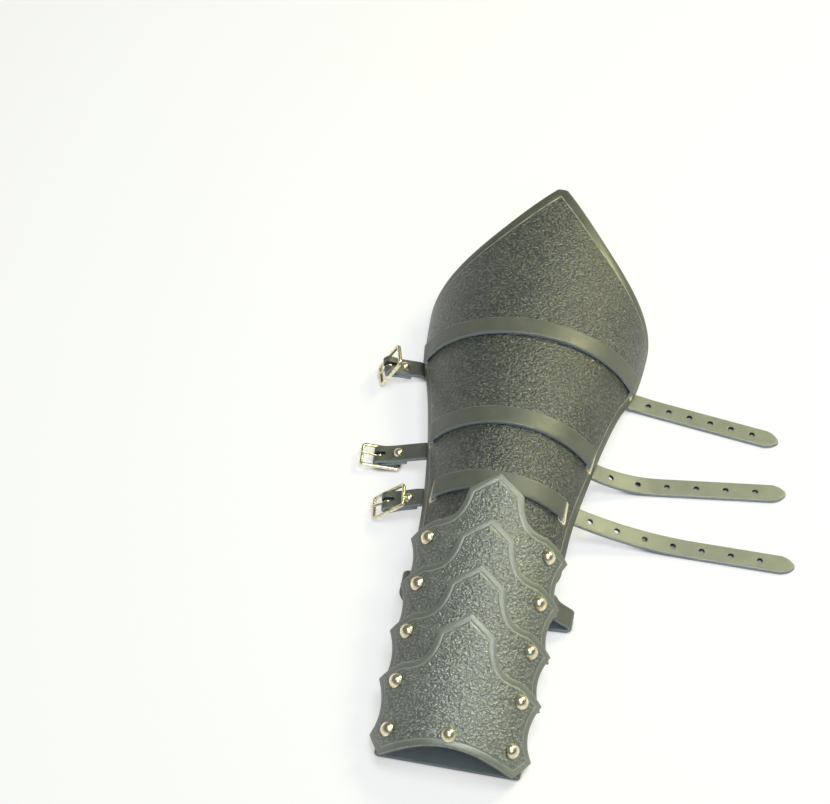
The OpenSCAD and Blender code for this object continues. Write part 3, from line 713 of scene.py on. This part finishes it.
def tooled(name, dark, light, groove_highlight, pebble, stretch, relief, line_at, groove_highlight_share, ior, gloss,
           rough_at):
    """Embossed leather: a pebbled glossy field with painted shade in its creases, a smooth border and
    a tooled line with a painted highlight. The pebbles' size, their relief and the line's distance from
    the edge are in mm."""
    mat, tree, bsdf = shader(name)
    flat, rim = sheet_values(tree)
    field = span(rim, line_at + 0.3, line_at + 1.2)
    border = maths("SUBTRACT", 1.0, field)

    # relief: bent cells with creases between them, and a fine grain
    squeeze = after(flat, "ShaderNodeVectorMath", 0, operation="MULTIPLY")
    squeeze.inputs[1].default_value = (1 / stretch, 1, 1)
    warp = after(squeeze.outputs[0], "ShaderNodeTexNoise", "Vector", Scale=6.0, Detail=2.0)
    bend = after(warp.outputs["Color"], "ShaderNodeVectorMath", 0, operation="MULTIPLY_ADD")
    bend.inputs[1].default_value = (WARP, WARP, WARP)
    link(squeeze.outputs[0], bend.inputs[2])
    per_cm = 10 / pebble
    cells = after(bend.outputs[0], "ShaderNodeTexVoronoi", "Vector", feature="SMOOTH_F1",
                  Scale=per_cm, Smoothness=0.5)
    creases = noise(squeeze.outputs[0], per_cm * 0.9, 2.5, 0.6, 1.0)
    fine = noise(flat, 34.0, 3.0, 0.6)
    height = weighted((cells.outputs["Distance"], -0.9), (creases, 1.5))
    total = weighted((times(height, field), 1), (fine, 0.08))
    link(bump(total, relief * MM), bsdf.inputs["Normal"])

    # colour: lighter where the pebble tops show wear and darker in the creases as painted shade, then a
    # painted highlight along the tooled line, and the rubbed outer edge
    cloud = noise(flat, 0.55, 4.0, 0.6)
    wear_and_crease_shade = span(height, 0.15, 0.85)
    shade = weighted((wear_and_crease_shade, times(field, 0.75)), (cloud, 0.4), (border, 0.22))
    base = ramp(shade, [(0.2, dark), (1.0, light)])
    # the pale line along the groove is a painted highlight
    off_line = maths("ABSOLUTE", maths("SUBTRACT", rim, line_at))
    patchy = span(noise(flat, 1.4, 2.0), 0.3, 0.6, 0.35 * groove_highlight_share, groove_highlight_share)
    line = times(span(off_line, 0.2, 0.7, 1.0, 0.0), patchy)
    base = mixed(line, base, groove_highlight)
    patchy = span(noise(flat, 4.0, 3.0), 0.35, 0.7, 0.1, 0.9)
    rubbed = times(span(rim, 0.1, 1.0, 0.45, 0.0), patchy)
    base = mixed(rubbed, base, tuple(min(1, v * WORN_EDGE_GAIN) for v in light))
    link(base, bsdf.inputs["Base Color"])

    rough = span(cloud, 0.3, 0.7, rough_at, rough_at + 0.07)
    rough = weighted((rough, 1), (border, 0.13), (wear_and_crease_shade, -0.05))
    link(rough, bsdf.inputs["Roughness"])
    bsdf.inputs["IOR"].default_value = ior
    bsdf.inputs["Specular IOR Level"].default_value = gloss
    return mat


def plain_leather(name, dark, light, rough, grain, relief, edge_light=None, gloss=0.0):
    """Smooth strap leather, or a raw or fleshy side, with fine grain and cloudy colour."""
    mat, tree, bsdf = shader(name)
    flat, rim = sheet_values(tree)
    cloud = noise(flat, 0.9, 4.0, 0.6)
    fine = noise(flat, grain, 4.0, 0.65)
    creases = noise(flat, 5.0, 3.0, 0.5, 1.5)
    height = weighted((fine, 1), (creases, 0.6))
    link(bump(height, relief * MM), bsdf.inputs["Normal"])
    base = ramp(weighted((cloud, 0.7), (fine, 0.35)), [(0.3, dark), (0.75, light)])
    if edge_light:
        base = mixed(span(rim, 0.05, WEAR_TO, 0.9, 0.0), base, edge_light)
    link(base, bsdf.inputs["Base Color"])
    link(span(cloud, 0.3, 0.7, rough - 0.05, rough + 0.07), bsdf.inputs["Roughness"])
    if gloss:
        bsdf.inputs["IOR"].default_value = WAXED_IOR
        bsdf.inputs["Specular IOR Level"].default_value = gloss
    return mat


def brass(name):
    mat, tree, bsdf = shader(name)
    place = node(tree, "ShaderNodeTexCoord").outputs["Object"]
    patina = noise(place, 420.0, 4.0, 0.6)
    scuff = noise(place, 2600.0, 3.0, 0.6)
    base = ramp(patina, [(0.35, (0.66, 0.56, 0.33)), (0.55, (0.87, 0.81, 0.60)),
                         (0.85, (0.95, 0.92, 0.80))])
    link(base, bsdf.inputs["Base Color"])
    link(span(patina, 0.3, 0.7, 0.32, 0.20), bsdf.inputs["Roughness"])
    link(bump(scuff, 0.04 * MM, 0.5), bsdf.inputs["Normal"])
    bsdf.inputs["Metallic"].default_value = 1.0
    return mat


SHELL_LINE, PLATE_LINE = 6.6, 4.2
shell_grain = tooled("shell_grain", (0.013, 0.015, 0.013), (0.170, 0.188, 0.122), (0.36, 0.38, 0.29),
                     pebble=1.3, stretch=1.35, relief=0.58, line_at=SHELL_LINE, groove_highlight_share=0.85,
                     ior=1.66, gloss=0.8, rough_at=0.30)
PLATE_LOOK = {"pebble": 1.45, "stretch": 1.15, "relief": 0.5, "line_at": PLATE_LINE,
              "groove_highlight_share": 0.5, "ior": 1.8, "gloss": 0.9}
# the plates' colours are lighter than the shell's as painted sheen, standing in for the glare on the
# plates
plate_grain = tooled("plate_grain", (0.060, 0.068, 0.056), (0.275, 0.305, 0.225), (0.42, 0.46, 0.38),
                     rough_at=0.33, **PLATE_LOOK)
# a lighter copy of plate_grain for the last plate: a painted highlight
last_highlit_grain = tooled("last_plate_highlit_grain", (0.075, 0.085, 0.070), (0.345, 0.380, 0.290),
                    (0.46, 0.50, 0.42), rough_at=0.31, **PLATE_LOOK)
# name, dark and light colour, roughness, grain in lumps per cm, relief in mm
dyed_edge = plain_leather("dyed_edge", (0.035, 0.038, 0.034), (0.08, 0.085, 0.075), 0.45, 30, 0.10)
flesh_side = plain_leather("flesh_side", (0.025, 0.045, 0.050), (0.165, 0.220, 0.225), 0.85, 7, 0.6)
slot_cut = plain_leather("slot_cut", (0.66, 0.60, 0.44), (0.86, 0.80, 0.62), 0.7, 30, 0.10)
strap_grain = plain_leather("strap_grain", (0.078, 0.083, 0.067), (0.120, 0.127, 0.098), 0.45, 30, 0.05,
                            edge_light=(0.24, 0.26, 0.24), gloss=0.6)
# a lighter copy of strap_grain for the tails: painted light where they lie flat facing the lamps
tail_lit_grain = plain_leather("tail_lit_grain", (0.205, 0.213, 0.160), (0.285, 0.293, 0.225), 0.42, 30, 0.05,
                           edge_light=(0.42, 0.44, 0.40), gloss=0.5)
raw_edge = plain_leather("raw_edge", (0.34, 0.41, 0.47), (0.52, 0.60, 0.66), 0.7, 30, 0.10)
strap_flesh = plain_leather("strap_flesh", (0.26, 0.32, 0.37), (0.42, 0.49, 0.54), 0.85, 40, 0.14)
# near black walls of the holes: painted shade inside the holes
hole_wall_shade = plain_leather("hole_wall_shade", (0.02, 0.018, 0.015), (0.05, 0.045, 0.04), 0.8, 30, 0.05)
metal = brass("pale_brass")

# ---- Forearm shell
SLOT_CORNER_R = 1.2


def shell_outline():
    corner = [-HAND_REACH + HAND_CORNER_R * (1 - cos(4.5 * i)) for i in range(20)]
    rows = np.arange(-HAND_REACH + HAND_CORNER_R, ELBOW_REACH - 4, 2.0)
    ys = np.array(corner + list(rows) + [ELBOW_REACH - d for d in (3.5, 2, 1)])
    us = np.radians(edge_angle(ys)) * mean_r(ys)
    right = np.stack([us, ys], 1)
    end, last = us[-1], ELBOW_REACH - 1
    near_tip = [(end, last), (end - 0.9, last + 0.8)]
    tip = near_tip + [(0, ELBOW_REACH)] + [(-u, y) for u, y in near_tip[::-1]]
    left = right[::-1] * [-1, 1]
    foot = [left[-1], right[0]]
    return closed_loop([right, tip, left, foot], 1.1)


def shell_holes():
    half_u, half_v = SLOT_W / 2 - SLOT_CORNER_R, STRAP_W / 2 + SLOT_END - SLOT_CORNER_R
    holes = []
    for k, v in enumerate(STRAP_Y):
        for side in SIDES:
            u = side * (math.radians(SLOT_ANGLE[k]) * mean_r(v))
            holes.append(rounded_box((u - half_u, v - half_v), (u + half_u, v + half_v),
                                     SLOT_CORNER_R, 0.6))
    r = POST_D / 2 + TILT_ROOM * (SHELL_T + FIRST_GAP) * TILT_SHARE
    for side in SIDES:
        under = np.array([-(PLATE_T + FIRST_GAP + SHELL_T / 2)])
        p = place_plate(0)(np.array([side * PIVOT_SIDE]), np.array([PIVOT_DOWN]), under)[0]
        holes.append(circle(*flat_of_shell(p), r))
    return holes


def flat_of_shell(point):
    """Where a point in space lies on the flattened shell."""
    x, y, z = point
    a = math.atan2(x / half_w(y), z / crown(y))
    return a * mean_r(y), y


def dress(obj, node_name, body):
    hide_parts(node_name)
    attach(obj, body)


def build_shell():
    obj = leather_piece("forearm_shell_leather", shell_outline(), shell_holes(), place_shell, SHELL_T,
                        [shell_grain, flesh_side, dyed_edge, slot_cut], step=1.1, field=1.2,
                        edge_r=0.9, groove=(SHELL_LINE, 0.5, 0.25, 0.08), grain=(1.35, 1.35, 0.14),
                        lip=1.3)
    dress(obj, "forearm_shell", "shell")


# ---- Hand plates
TOP_EDGE = [(0, 0), (8.7, 6.2), (17.3, 12.6), (18.3, 18), (19.6, 23), (22.6, 28.6), (26.5, 31.6),
            (30.5, 32.9), (33.5, 33.3), (37, 33.5)]
SIDE_EDGE = [(37, 33.5), (47, 37.5), (56.6, 43), (53.6, 48), (51.4, 53), (50, 59), (50.2, 65),
             (52.5, 71), (58, 77), (53.5, 81.5), (48.5, 86), (44, 90)]
SIDE_CORNER, LAST = 8, 3


def plate_length(k):
    return LAST_LEN if k == LAST else PIVOT_DOWN + PLATE_PITCH + PIVOT_TAIL


def plate_outline(k):
    """TOP_EDGE and SIDE_EDGE are the last plate's. The others end sooner beyond the side's corner."""
    corner = SIDE_EDGE[SIDE_CORNER][1]
    stretch = (plate_length(k) - corner) / (SIDE_EDGE[-1][1] - corner)
    side = [(w, d if i <= SIDE_CORNER else corner + (d - corner) * stretch)
            for i, (w, d) in enumerate(SIDE_EDGE)]
    right = [TOP_EDGE[:3], spline(TOP_EDGE[2:]), side[:3], spline(side[2:SIDE_CORNER + 1]),
             side[SIDE_CORNER:]]
    t = np.linspace(1, -1, 41)
    rise = BOTTOM_RISE if k == LAST else HIDDEN_RISE
    wide = SIDE_EDGE[0][0]
    bottom = np.stack([t * (wide + (side[-1][0] - wide) * np.abs(t) ** (SIDE_SPREAD - 1)),
                       plate_length(k) - rise * (1 - t * t)], 1)
    left = [[(-w, d) for w, d in seg][::-1] for seg in right[::-1]]
    return closed_loop(right + [bottom] + left, 0.9)


def build_plate(k):
    own_r = POST_D / 2 + POST_FIT
    holes = [circle(side * PIVOT_SIDE, PIVOT_DOWN, own_r) for side in SIDES]
    if k < LAST:
        depth = PIVOT_GAP + PLATE_T + (STRAP_T if k == 0 else 0)
        r = POST_D / 2 + TILT_ROOM * depth * TILT_SHARE
        holes += [circle(side * PIVOT_SIDE, PIVOT_DOWN + PLATE_PITCH, r) for side in SIDES]
    else:
        holes += [circle(w, FINGER_DOWN, own_r) for w in (-PIVOT_SIDE, 0, PIVOT_SIDE)]
    grain_side = last_highlit_grain if k == LAST else plate_grain
    obj = leather_piece(f"hand_plate_leather_{k + 1}", plate_outline(k), holes, place_plate(k), PLATE_T,
                        [grain_side, flesh_side, dyed_edge, hole_wall_shade], step=0.9, field=1.15,
                        edge_r=1.1, groove=(PLATE_LINE, 0.55, 0.32, 0.15), grain=(1.6, 1.15, 0.16))
    dress(obj, f"hand_plate_{k + 1}", f"plate_{k + 1}")


# ---- Straps with their tails and buckle tabs
STRAP_SET = [strap_flesh, raw_edge, hole_wall_shade]
FOLD_BULGE, TAB_SLOT_ROOM, TAB_SLOT_MORE, TAB_SLOT_R = 0.55, 1.2, 1.5, 0.9


def strap_piece(node_name, lines, step, field, holes=None, side=1, tip=0.0, grain_side=strap_grain):
    """A length of strap between its long edges. holes takes the stations of the lines' points."""
    place, length, stations = ribbon_place(*lines, side)
    obj = leather_piece(f"{node_name}_leather", strap_outline(length, tip),
                        holes(stations) if holes else [], place, STRAP_T,
                        [grain_side] + STRAP_SET, step, field, edge_r=0.45, back_r=0.3)
    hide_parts(node_name)
    return obj


def end_lines(starts, path, hinge, turn, rise=0.0):
    """Both long edges of a strap's end: their starts, and the path (out, up) beyond the hinge."""
    return [start + [turned((x, e * STRAP_W, z), hinge, turn, rise) for x, z in path]
            for start, e in zip(starts, STRAP_EDGES)]


def blend_from_shell(obj, hinge, turn):
    out, at = Vector((cos(turn), sin(turn), 0)) * MM, Vector(hinge) * MM
    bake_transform(obj)


def build_tail(k, starts, tail_y):
    """The tail, from inside the wall, round the shell's edge and along the table."""
    fall = TAIL_FALL[k]
    x, z = hinge_point(tail_y, fall)
    hinge = np.array([x, tail_y, z])
    drop = z - STRAP_T / 2
    ease = 2 * drop / math.tan(math.radians(fall))
    xs = [ease * i / 6 for i in range(7)] + list(np.linspace(ease, TAIL_LEN[k], 5)[1:])
    path = [(x, -drop * (1 - max(0, 1 - x / ease) ** 2)) for x in xs]

    def holes(at):
        first = at[len(starts[0])] + FIRST_HOLE[k]
        return [circle(first + i * HOLE_PITCH[k], 0, HOLE_D / 2) for i in range(TAIL_HOLES[k])]
    obj = strap_piece(f"{NAMES[k]}_strap_tail", end_lines(starts, path, hinge, TAIL_TURN[k]), 1.0, 2.4,
                      holes, tip=TIP_LEN, grain_side=tail_lit_grain)
    blend_from_shell(obj, hinge, TAIL_TURN[k])


def build_tab(k, starts, tab_y):
    """The buckle tab, folded round the buckle's middle bar, and the buckle."""
    x, z = hinge_point(tab_y, -TAB_RISE[k])
    hinge = np.array([-x, tab_y, z])
    turn, rise, reach = 180 + TAB_TURN[k], TAB_RISE[k], TAB_LEN[k]
    drop = (STRAP_T + LAYER_GAP) / 2
    fold_r = BAR_D / 2 + FOLD_FIT + STRAP_T / 2
    full, half = reach - FOLD_EASE, reach - FOLD_EASE / 2
    top = [(0, 0), (reach / 3, 0), (full - 1, 0), (half, FOLD_BULGE)]
    fold = [(reach + fold_r * cos(a), -drop + fold_r * sin(a)) for a in range(90, -91, -20)]
    under = [(half, -2 * drop - FOLD_BULGE), (full, -2 * drop),
             (reach - TAB_RIVET_BACK[k] - FOLD_PAST, -2 * drop)]
    lines = end_lines(starts[::-1], top + fold + under, hinge, turn, rise)
    first = len(starts[0]) + len(top)

    def slot(at):
        wide, r = (PRONG_D + TAB_SLOT_ROOM) / 2 - TAB_SLOT_R, TAB_SLOT_R
        low, high = at[first - 1] - TAB_SLOT_MORE, at[first + len(fold)] + TAB_SLOT_MORE
        return [rounded_box((low + r, -wide), (high - r, wide), r, HOLE_STEP)]
    obj = strap_piece(f"{NAMES[k]}_buckle_tab", lines, 1.0, 2.0, slot)
    blend_from_shell(obj, hinge, turn)
    build_buckle(k, hinge, turn, rise, reach, drop)


def build_strap(k):
    band, tail, tab, tail_y, tab_y = strap_lines(k)
    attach(strap_piece(f"{NAMES[k]}_strap", band, 1.2, 2.6), "shell")
    build_tail(k, tail, tail_y)
    build_tab(k, tab, tab_y)


# ---- Metal pieces
TUBE_SIDES, RING_SIDES, RIVET_SIDES = 16, 20, 40
CORNER_R, BAR_FLARE = 3.0, 0.22
CAP_RIM = ((0.985, 0.32), (1, 0.2))
TAB_GRIP_ROOM, TAB_CAP_LIFT, PRONG_LIFT, PRONG_PAST, EYE_SHARE = 0.1, 0.05, 0.2, 0.5, 0.7
PRONG_X = (1.5, 2.5, 4, 6, 8, 9.3)
PRONG_TIP = (0, 0.55, 0.85)
PRONG_R = (0.9, 0.9, 0.88, 0.84, 0.8, 0.76, 0.66, 0.42, 0.12)
PRONG_SAG = (0, 0, 0.02, 0.08, 0.1, 0.05, -0.05, -0.15, -0.2)


def metal_piece(name, node_name, body, parts, place=tuple):
    verts, faces = [], []
    for more, loops in parts:
        faces += [tuple(i + len(verts) for i in face) for face in loops]
        verts += [place(v) for v in more]
    obj = mesh_object(name, np.asarray(verts) * MM, faces, [metal])
    smooth(obj.data)
    dress(obj, node_name, body)


def tube(path, radii, sides=TUBE_SIDES, closed=False, up=(0, 0, 1), power=2.0):
    """A tube along a path. radii are (across, along up) at each point, power squares the section."""
    p = np.asarray(path, float)
    if closed:
        t = unit(np.roll(p, -1, axis=0) - np.roll(p, 1, axis=0))
    else:
        t = unit(np.gradient(p, axis=0))
    side = unit(np.cross(up, t))
    top = np.cross(t, side)
    section = [[math.copysign(abs(v) ** (2 / power), v) for v in spot] for spot in circle_points(sides)]
    verts, n = [], len(p)
    for i in range(n):
        verts += [p[i] + side[i] * radii[i][0] * c + top[i] * radii[i][1] * s for c, s in section]
    faces = []
    for i in range(n if closed else n - 1):
        for j in range(sides):
            a, b = i * sides + j, i * sides + (j + 1) % sides
            c, d = (i + 1) % n * sides + (j + 1) % sides, (i + 1) % n * sides + j
            faces.append((a, b, c, d))
    if not closed:
        faces += [tuple(range(sides))[::-1], tuple(range((n - 1) * sides, n * sides))]
    return verts, faces


def cap_arc(height, radius, steps):
    """Points (distance from the axis, depth under the top) down the side of a domed cap."""
    ball = height / 2 + radius * radius / 2 / height
    full = math.degrees(math.asin(min(1, radius / ball)))
    turns = [full * i / steps for i in range(steps + 1)]
    return [(ball * sin(a), ball * (1 - cos(a))) for a in turns]


def rivet_part(at, axis, grip, size=1.0):
    """A domed cap with a rolled lip, a post and a flatter inner cap. axis points out of the leather."""
    h, r, back_h = CAP_H * size, CAP_D / 2 * size, BACK_H * size
    prof = [(w, h - z) for w, z in cap_arc(h, r, 12)[:-1]] + [(r * w, z * size) for w, z in CAP_RIM]
    prof += [(r, 0.06), (r * 0.93, 0), (POST_D / 2, 0), (POST_D / 2, -grip)]
    prof += [(w, -grip - back_h + z) for w, z in cap_arc(back_h, BACK_D / 2 * size, 8)[::-1]]
    axis = unit(np.asarray(axis, float))
    side = unit(np.cross(axis, (0.13, 0.97, 0.2)))
    top = np.cross(axis, side)
    verts = [at + axis * prof[0][1]]
    for w, z in prof[1:-1]:
        verts += [at + axis * z + w * (side * c + top * s) for c, s in circle_points(RIVET_SIDES)]
    verts.append(at + axis * prof[-1][1])
    n, rows, faces = RIVET_SIDES, len(prof) - 2, []
    for j in range(n):
        q = (j + 1) % n
        faces.append((0, 1 + j, 1 + q))
        faces += [(1 + i * n + j, 1 + (i + 1) * n + j, 1 + (i + 1) * n + q, 1 + i * n + q)
                  for i in range(rows - 1)]
        faces.append((1 + (rows - 1) * n + j, len(verts) - 1, 1 + (rows - 1) * n + q))
    return verts, faces


def build_buckle(k, hinge, turn, rise, reach, drop):
    name = NAMES[k]

    def in_tab(p):
        return turned(p, hinge, turn, rise)

    def in_frame(p):
        x, z = spun(p[0], p[2], FRAME_TILT[k])
        return in_tab((reach + x, p[1], z - drop))

    # rivet that closes the tab
    axis = in_tab((0, 0, 1)) - in_tab((0, 0, 0))
    at = in_tab((reach - TAB_RIVET_BACK[k], 0, STRAP_T / 2 + TAB_CAP_LIFT))
    grip = 2 * STRAP_T + LAYER_GAP + TAB_GRIP_ROOM
    metal_piece(f"{name}_tab_rivet_metal", f"{name}_tab_rivet", f"{name}_tab",
                [rivet_part(at, axis, grip, TAB_CAP_D / CAP_D)])

    # frame, and its middle bar, which flares where it joins the frame
    half, r = BUCKLE_IN_W / 2 + BAR_D / 2, CORNER_R - BAR_D / 2
    loop = rounded_box((r - BUCKLE_IN, r - half), (BUCKLE_OUT - r, half - r), r, 0.8, per=9)
    bar_y = np.linspace(-half, half, 15)
    bar_r = [BAR_D / 2 * (1 + BAR_FLARE * max(0, abs(y) / half - 0.8) / 0.2) for y in bar_y]
    parts = [tube(np.c_[loop, np.zeros(len(loop))], [(BAR_D / 2, FRAME_T / 2)] * len(loop), RING_SIDES,
                  closed=True, power=2.7),
             tube([(0, y, 0) for y in bar_y], [(q, q) for q in bar_r], RING_SIDES)]
    metal_piece(f"{name}_buckle_frame_metal", f"{name}_buckle_frame", f"{name}_frame", parts, in_frame)

    # prong: an eye round the bar and a tongue that rests on the frame
    slope = math.degrees(math.atan((FRAME_T / 2 + PRONG_D / 2 + PRONG_LIFT) / (BUCKLE_OUT - BAR_D / 2)))
    eye_in = BAR_D / 2 + BAR_FIT
    eye_t = PRONG_D * EYE_SHARE
    eye = [((eye_in + eye_t / 2) * cos(a), 0, (eye_in + eye_t / 2) * sin(a)) for a in range(0, 360, 12)]
    tip = BUCKLE_OUT + PRONG_PAST
    spots = [spun(x, s, slope) for x, s in zip([*PRONG_X, *(tip + d for d in PRONG_TIP)], PRONG_SAG)]
    parts = [tube(eye, [(eye_t / 2, PRONG_D / 2)] * len(eye), closed=True, up=(0, 1, 0), power=2.6),
             tube([(x, 0, z) for x, z in spots], [(q, q) for q in PRONG_R])]
    metal_piece(f"{name}_buckle_prong_metal", f"{name}_buckle_prong", f"{name}_prong", parts, in_frame)


def rivet_on_plate(k, w, d, grip):
    at = place_plate(k)(np.array([w]), np.array([d]), PLATE_T / 2 + CAP_LIFT)[0]
    a, s = w / plate_r(d), slope_of(k)
    return rivet_part(at, (math.sin(a), -math.cos(a) * sin(s), math.cos(a) * cos(s)), grip)


def build_rivets():
    for k in range(4):
        grip = PLATE_T + BACK_ROOM + CAP_LIFT
        grip += FIRST_GAP + SHELL_T if k == 0 else PIVOT_GAP + PLATE_T
        grip += STRAP_T + SEAT + PALM_DROP if k == 1 else 0
        parts = [rivet_on_plate(k, side * PIVOT_SIDE, PIVOT_DOWN, grip) for side in SIDES]
        metal_piece(f"plate_rivets_metal_{k + 1}", f"plate_rivets_{k + 1}", f"plate_{k + 1}", parts)
    grip = PLATE_T + SEAT + STRAP_T + CAP_LIFT + FINGER_ROOM
    parts = [rivet_on_plate(LAST, w, FINGER_DOWN, grip) for w in (-PIVOT_SIDE, 0, PIVOT_SIDE)]
    metal_piece("finger_strap_rivets_metal", "finger_strap_rivets", "plate_4", parts)


# ---- Hand straps
STRAP_N = -PLATE_T / 2 - SEAT - STRAP_T / 2


def side_fall(k, d):
    return -bent(PIVOT_SIDE, d, 0)[2] * sin(slope_of(k))


def build_palm_strap():
    mid = peak_of(1)[1] - PIVOT_DOWN * cos(slope_of(1)) + side_fall(1, PIVOT_DOWN)
    lines = []
    for e in SIDES:
        y = mid + e * STRAP_W / 2
        wrap = []
        for w, shift in PALM_WRAP:
            x, z = plate_skin(0, w, y + shift, STRAP_N - PALM_DROP)
            wrap.append(np.array([x, y + shift, z]))
        low = [(x - PALM_BACK, z, shift) for x, z, shift in PALM_LEFT]
        low += [(PALM_REACH - x, z, shift) for x, z, shift in PALM_RIGHT[::-1]]
        path = [np.array([x, y + shift, z + e * PALM_LEAN * max(0, z - PALM_FLAT)])
                for x, z, shift in low]
        lines.append([p * [-1, 1, 1] for p in wrap] + path + wrap[::-1])
    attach(strap_piece("palm_strap", lines, 1.2, 2.6, side=-1), "plate_1")


def build_finger_strap():
    mid = peak_of(LAST)[1] - FINGER_DOWN * cos(slope_of(LAST)) + side_fall(LAST, FINGER_DOWN) / 2
    n = FINGER_STEPS
    lines = []
    for e in STRAP_EDGES:
        y = mid + e * STRAP_W
        upper = [plate_skin(LAST, FINGER_WRAP * i / n, y, STRAP_N - FINGER_DROP)
                 for i in range(-n, n + 1)]
        end = upper[-1]
        r = (end[1] - STRAP_T / 2) / (1 + sin(FINGER_LEAN))
        turn = []
        for i in range(1, n + 1):
            a = FINGER_LEAN - (FINGER_LEAN + 90) * i / n
            turn.append((end[0] + r * (cos(a) - cos(FINGER_LEAN)), STRAP_T / 2 + r * (1 + sin(a))))
        back = [(-x, z) for x, z in turn[::-1]]
        path = upper[n:] + turn + back + upper[:n + 1]
        lines.append([np.array([x, y, z]) for x, z in path])
    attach(strap_piece("finger_strap", lines, 1.2, 2.6), "plate_4")


build_shell()
for k in range(4):
    build_plate(k)
for k in range(3):
    build_strap(k)
build_rivets()
build_palm_strap()
build_finger_strap()

# ---- Table, backdrop and light
FLOOR_R, FLOOR_SIDES, FLOOR_Z, WALL_H = 6.0, 64, -0.0002, 1.6
CONTACT_SHADE = 0.006
LAMP_TARGET = Vector((0, 0.03, 0))


def add_floor():
    """A table and a round wall, white to the camera and in reflections but grey as a light, with a
    painted contact shadow in their glow near the object.
    """
    mat, tree, bsdf = shader("table_white")
    tree.nodes.remove(bsdf)
    cloth = node(tree, "ShaderNodeBsdfDiffuse", Color=(0.55, 0.55, 0.55, 1))
    seen = node(tree, "ShaderNodeBsdfDiffuse", Color=(0.97, 0.97, 0.97, 1))
    # the AO dims the glow where the object is close: a painted contact shadow on the table, dark also
    # inside the tail's holes
    contact_shadow_ao = node(tree, "ShaderNodeAmbientOcclusion", Distance=CONTACT_SHADE)
    glow = after(span(contact_shadow_ao.outputs["AO"], 0.25, 0.75), "ShaderNodeEmission", "Strength")
    half = after(seen.outputs[0], "ShaderNodeMixShader", 1, Fac=0.6)
    link(glow.outputs[0], half.inputs[2])
    rays = node(tree, "ShaderNodeLightPath").outputs
    shown = weighted(*((rays[f"Is {kind} Ray"], 1) for kind in ("Camera", "Glossy", "Transmission")))
    pick = after(shown, "ShaderNodeMixShader", 0)
    link(cloth.outputs[0], pick.inputs[1])
    link(half.outputs[0], pick.inputs[2])
    link(pick.outputs[0], tree.nodes["Material Output"].inputs["Surface"])
    n = FLOOR_SIDES
    low, high = ([(FLOOR_R * c, FLOOR_R * s, z) for c, s in circle_points(n)]
                 for z in (FLOOR_Z, WALL_H))
    wall = [(i, (i + 1) % n, (i + 1) % n + n, i + n) for i in range(n)]
    mesh_object("table", low, [tuple(range(n))], [mat])
    mesh_object("backdrop", low + high, wall, [mat])


def add_world():
    world = bpy.data.worlds.new("studio")
    bpy.context.scene.world = world
    world.use_nodes = True
    back = world.node_tree.nodes["Background"]
    back.inputs["Color"].default_value = (0.97, 1.0, 0.98, 1)
    back.inputs["Strength"].default_value = 0.18


def add_lamp(name, azimuth, elevation, distance, size, power, colour):
    """A round area lamp. Distance and size are in metres."""
    data = bpy.data.lights.new(name, "AREA")
    data.shape, data.size, data.energy, data.color = "DISK", size, power, colour
    add_aimed(data, LAMP_TARGET, azimuth, elevation, distance)


add_floor()
add_world()
add_lamp("top", 70, 82, 1.5, 0.7, 12.5, (0.90, 0.98, 1.0))
add_lamp("side", 138, 43, 1.5, 0.45, 11.5, (1.0, 0.98, 0.52))
add_lamp("front", 20, 55, 1.6, 0.8, 3.0, (1.0, 1.0, 0.98))

scene = bpy.context.scene
scene.view_settings.view_transform = "Standard"
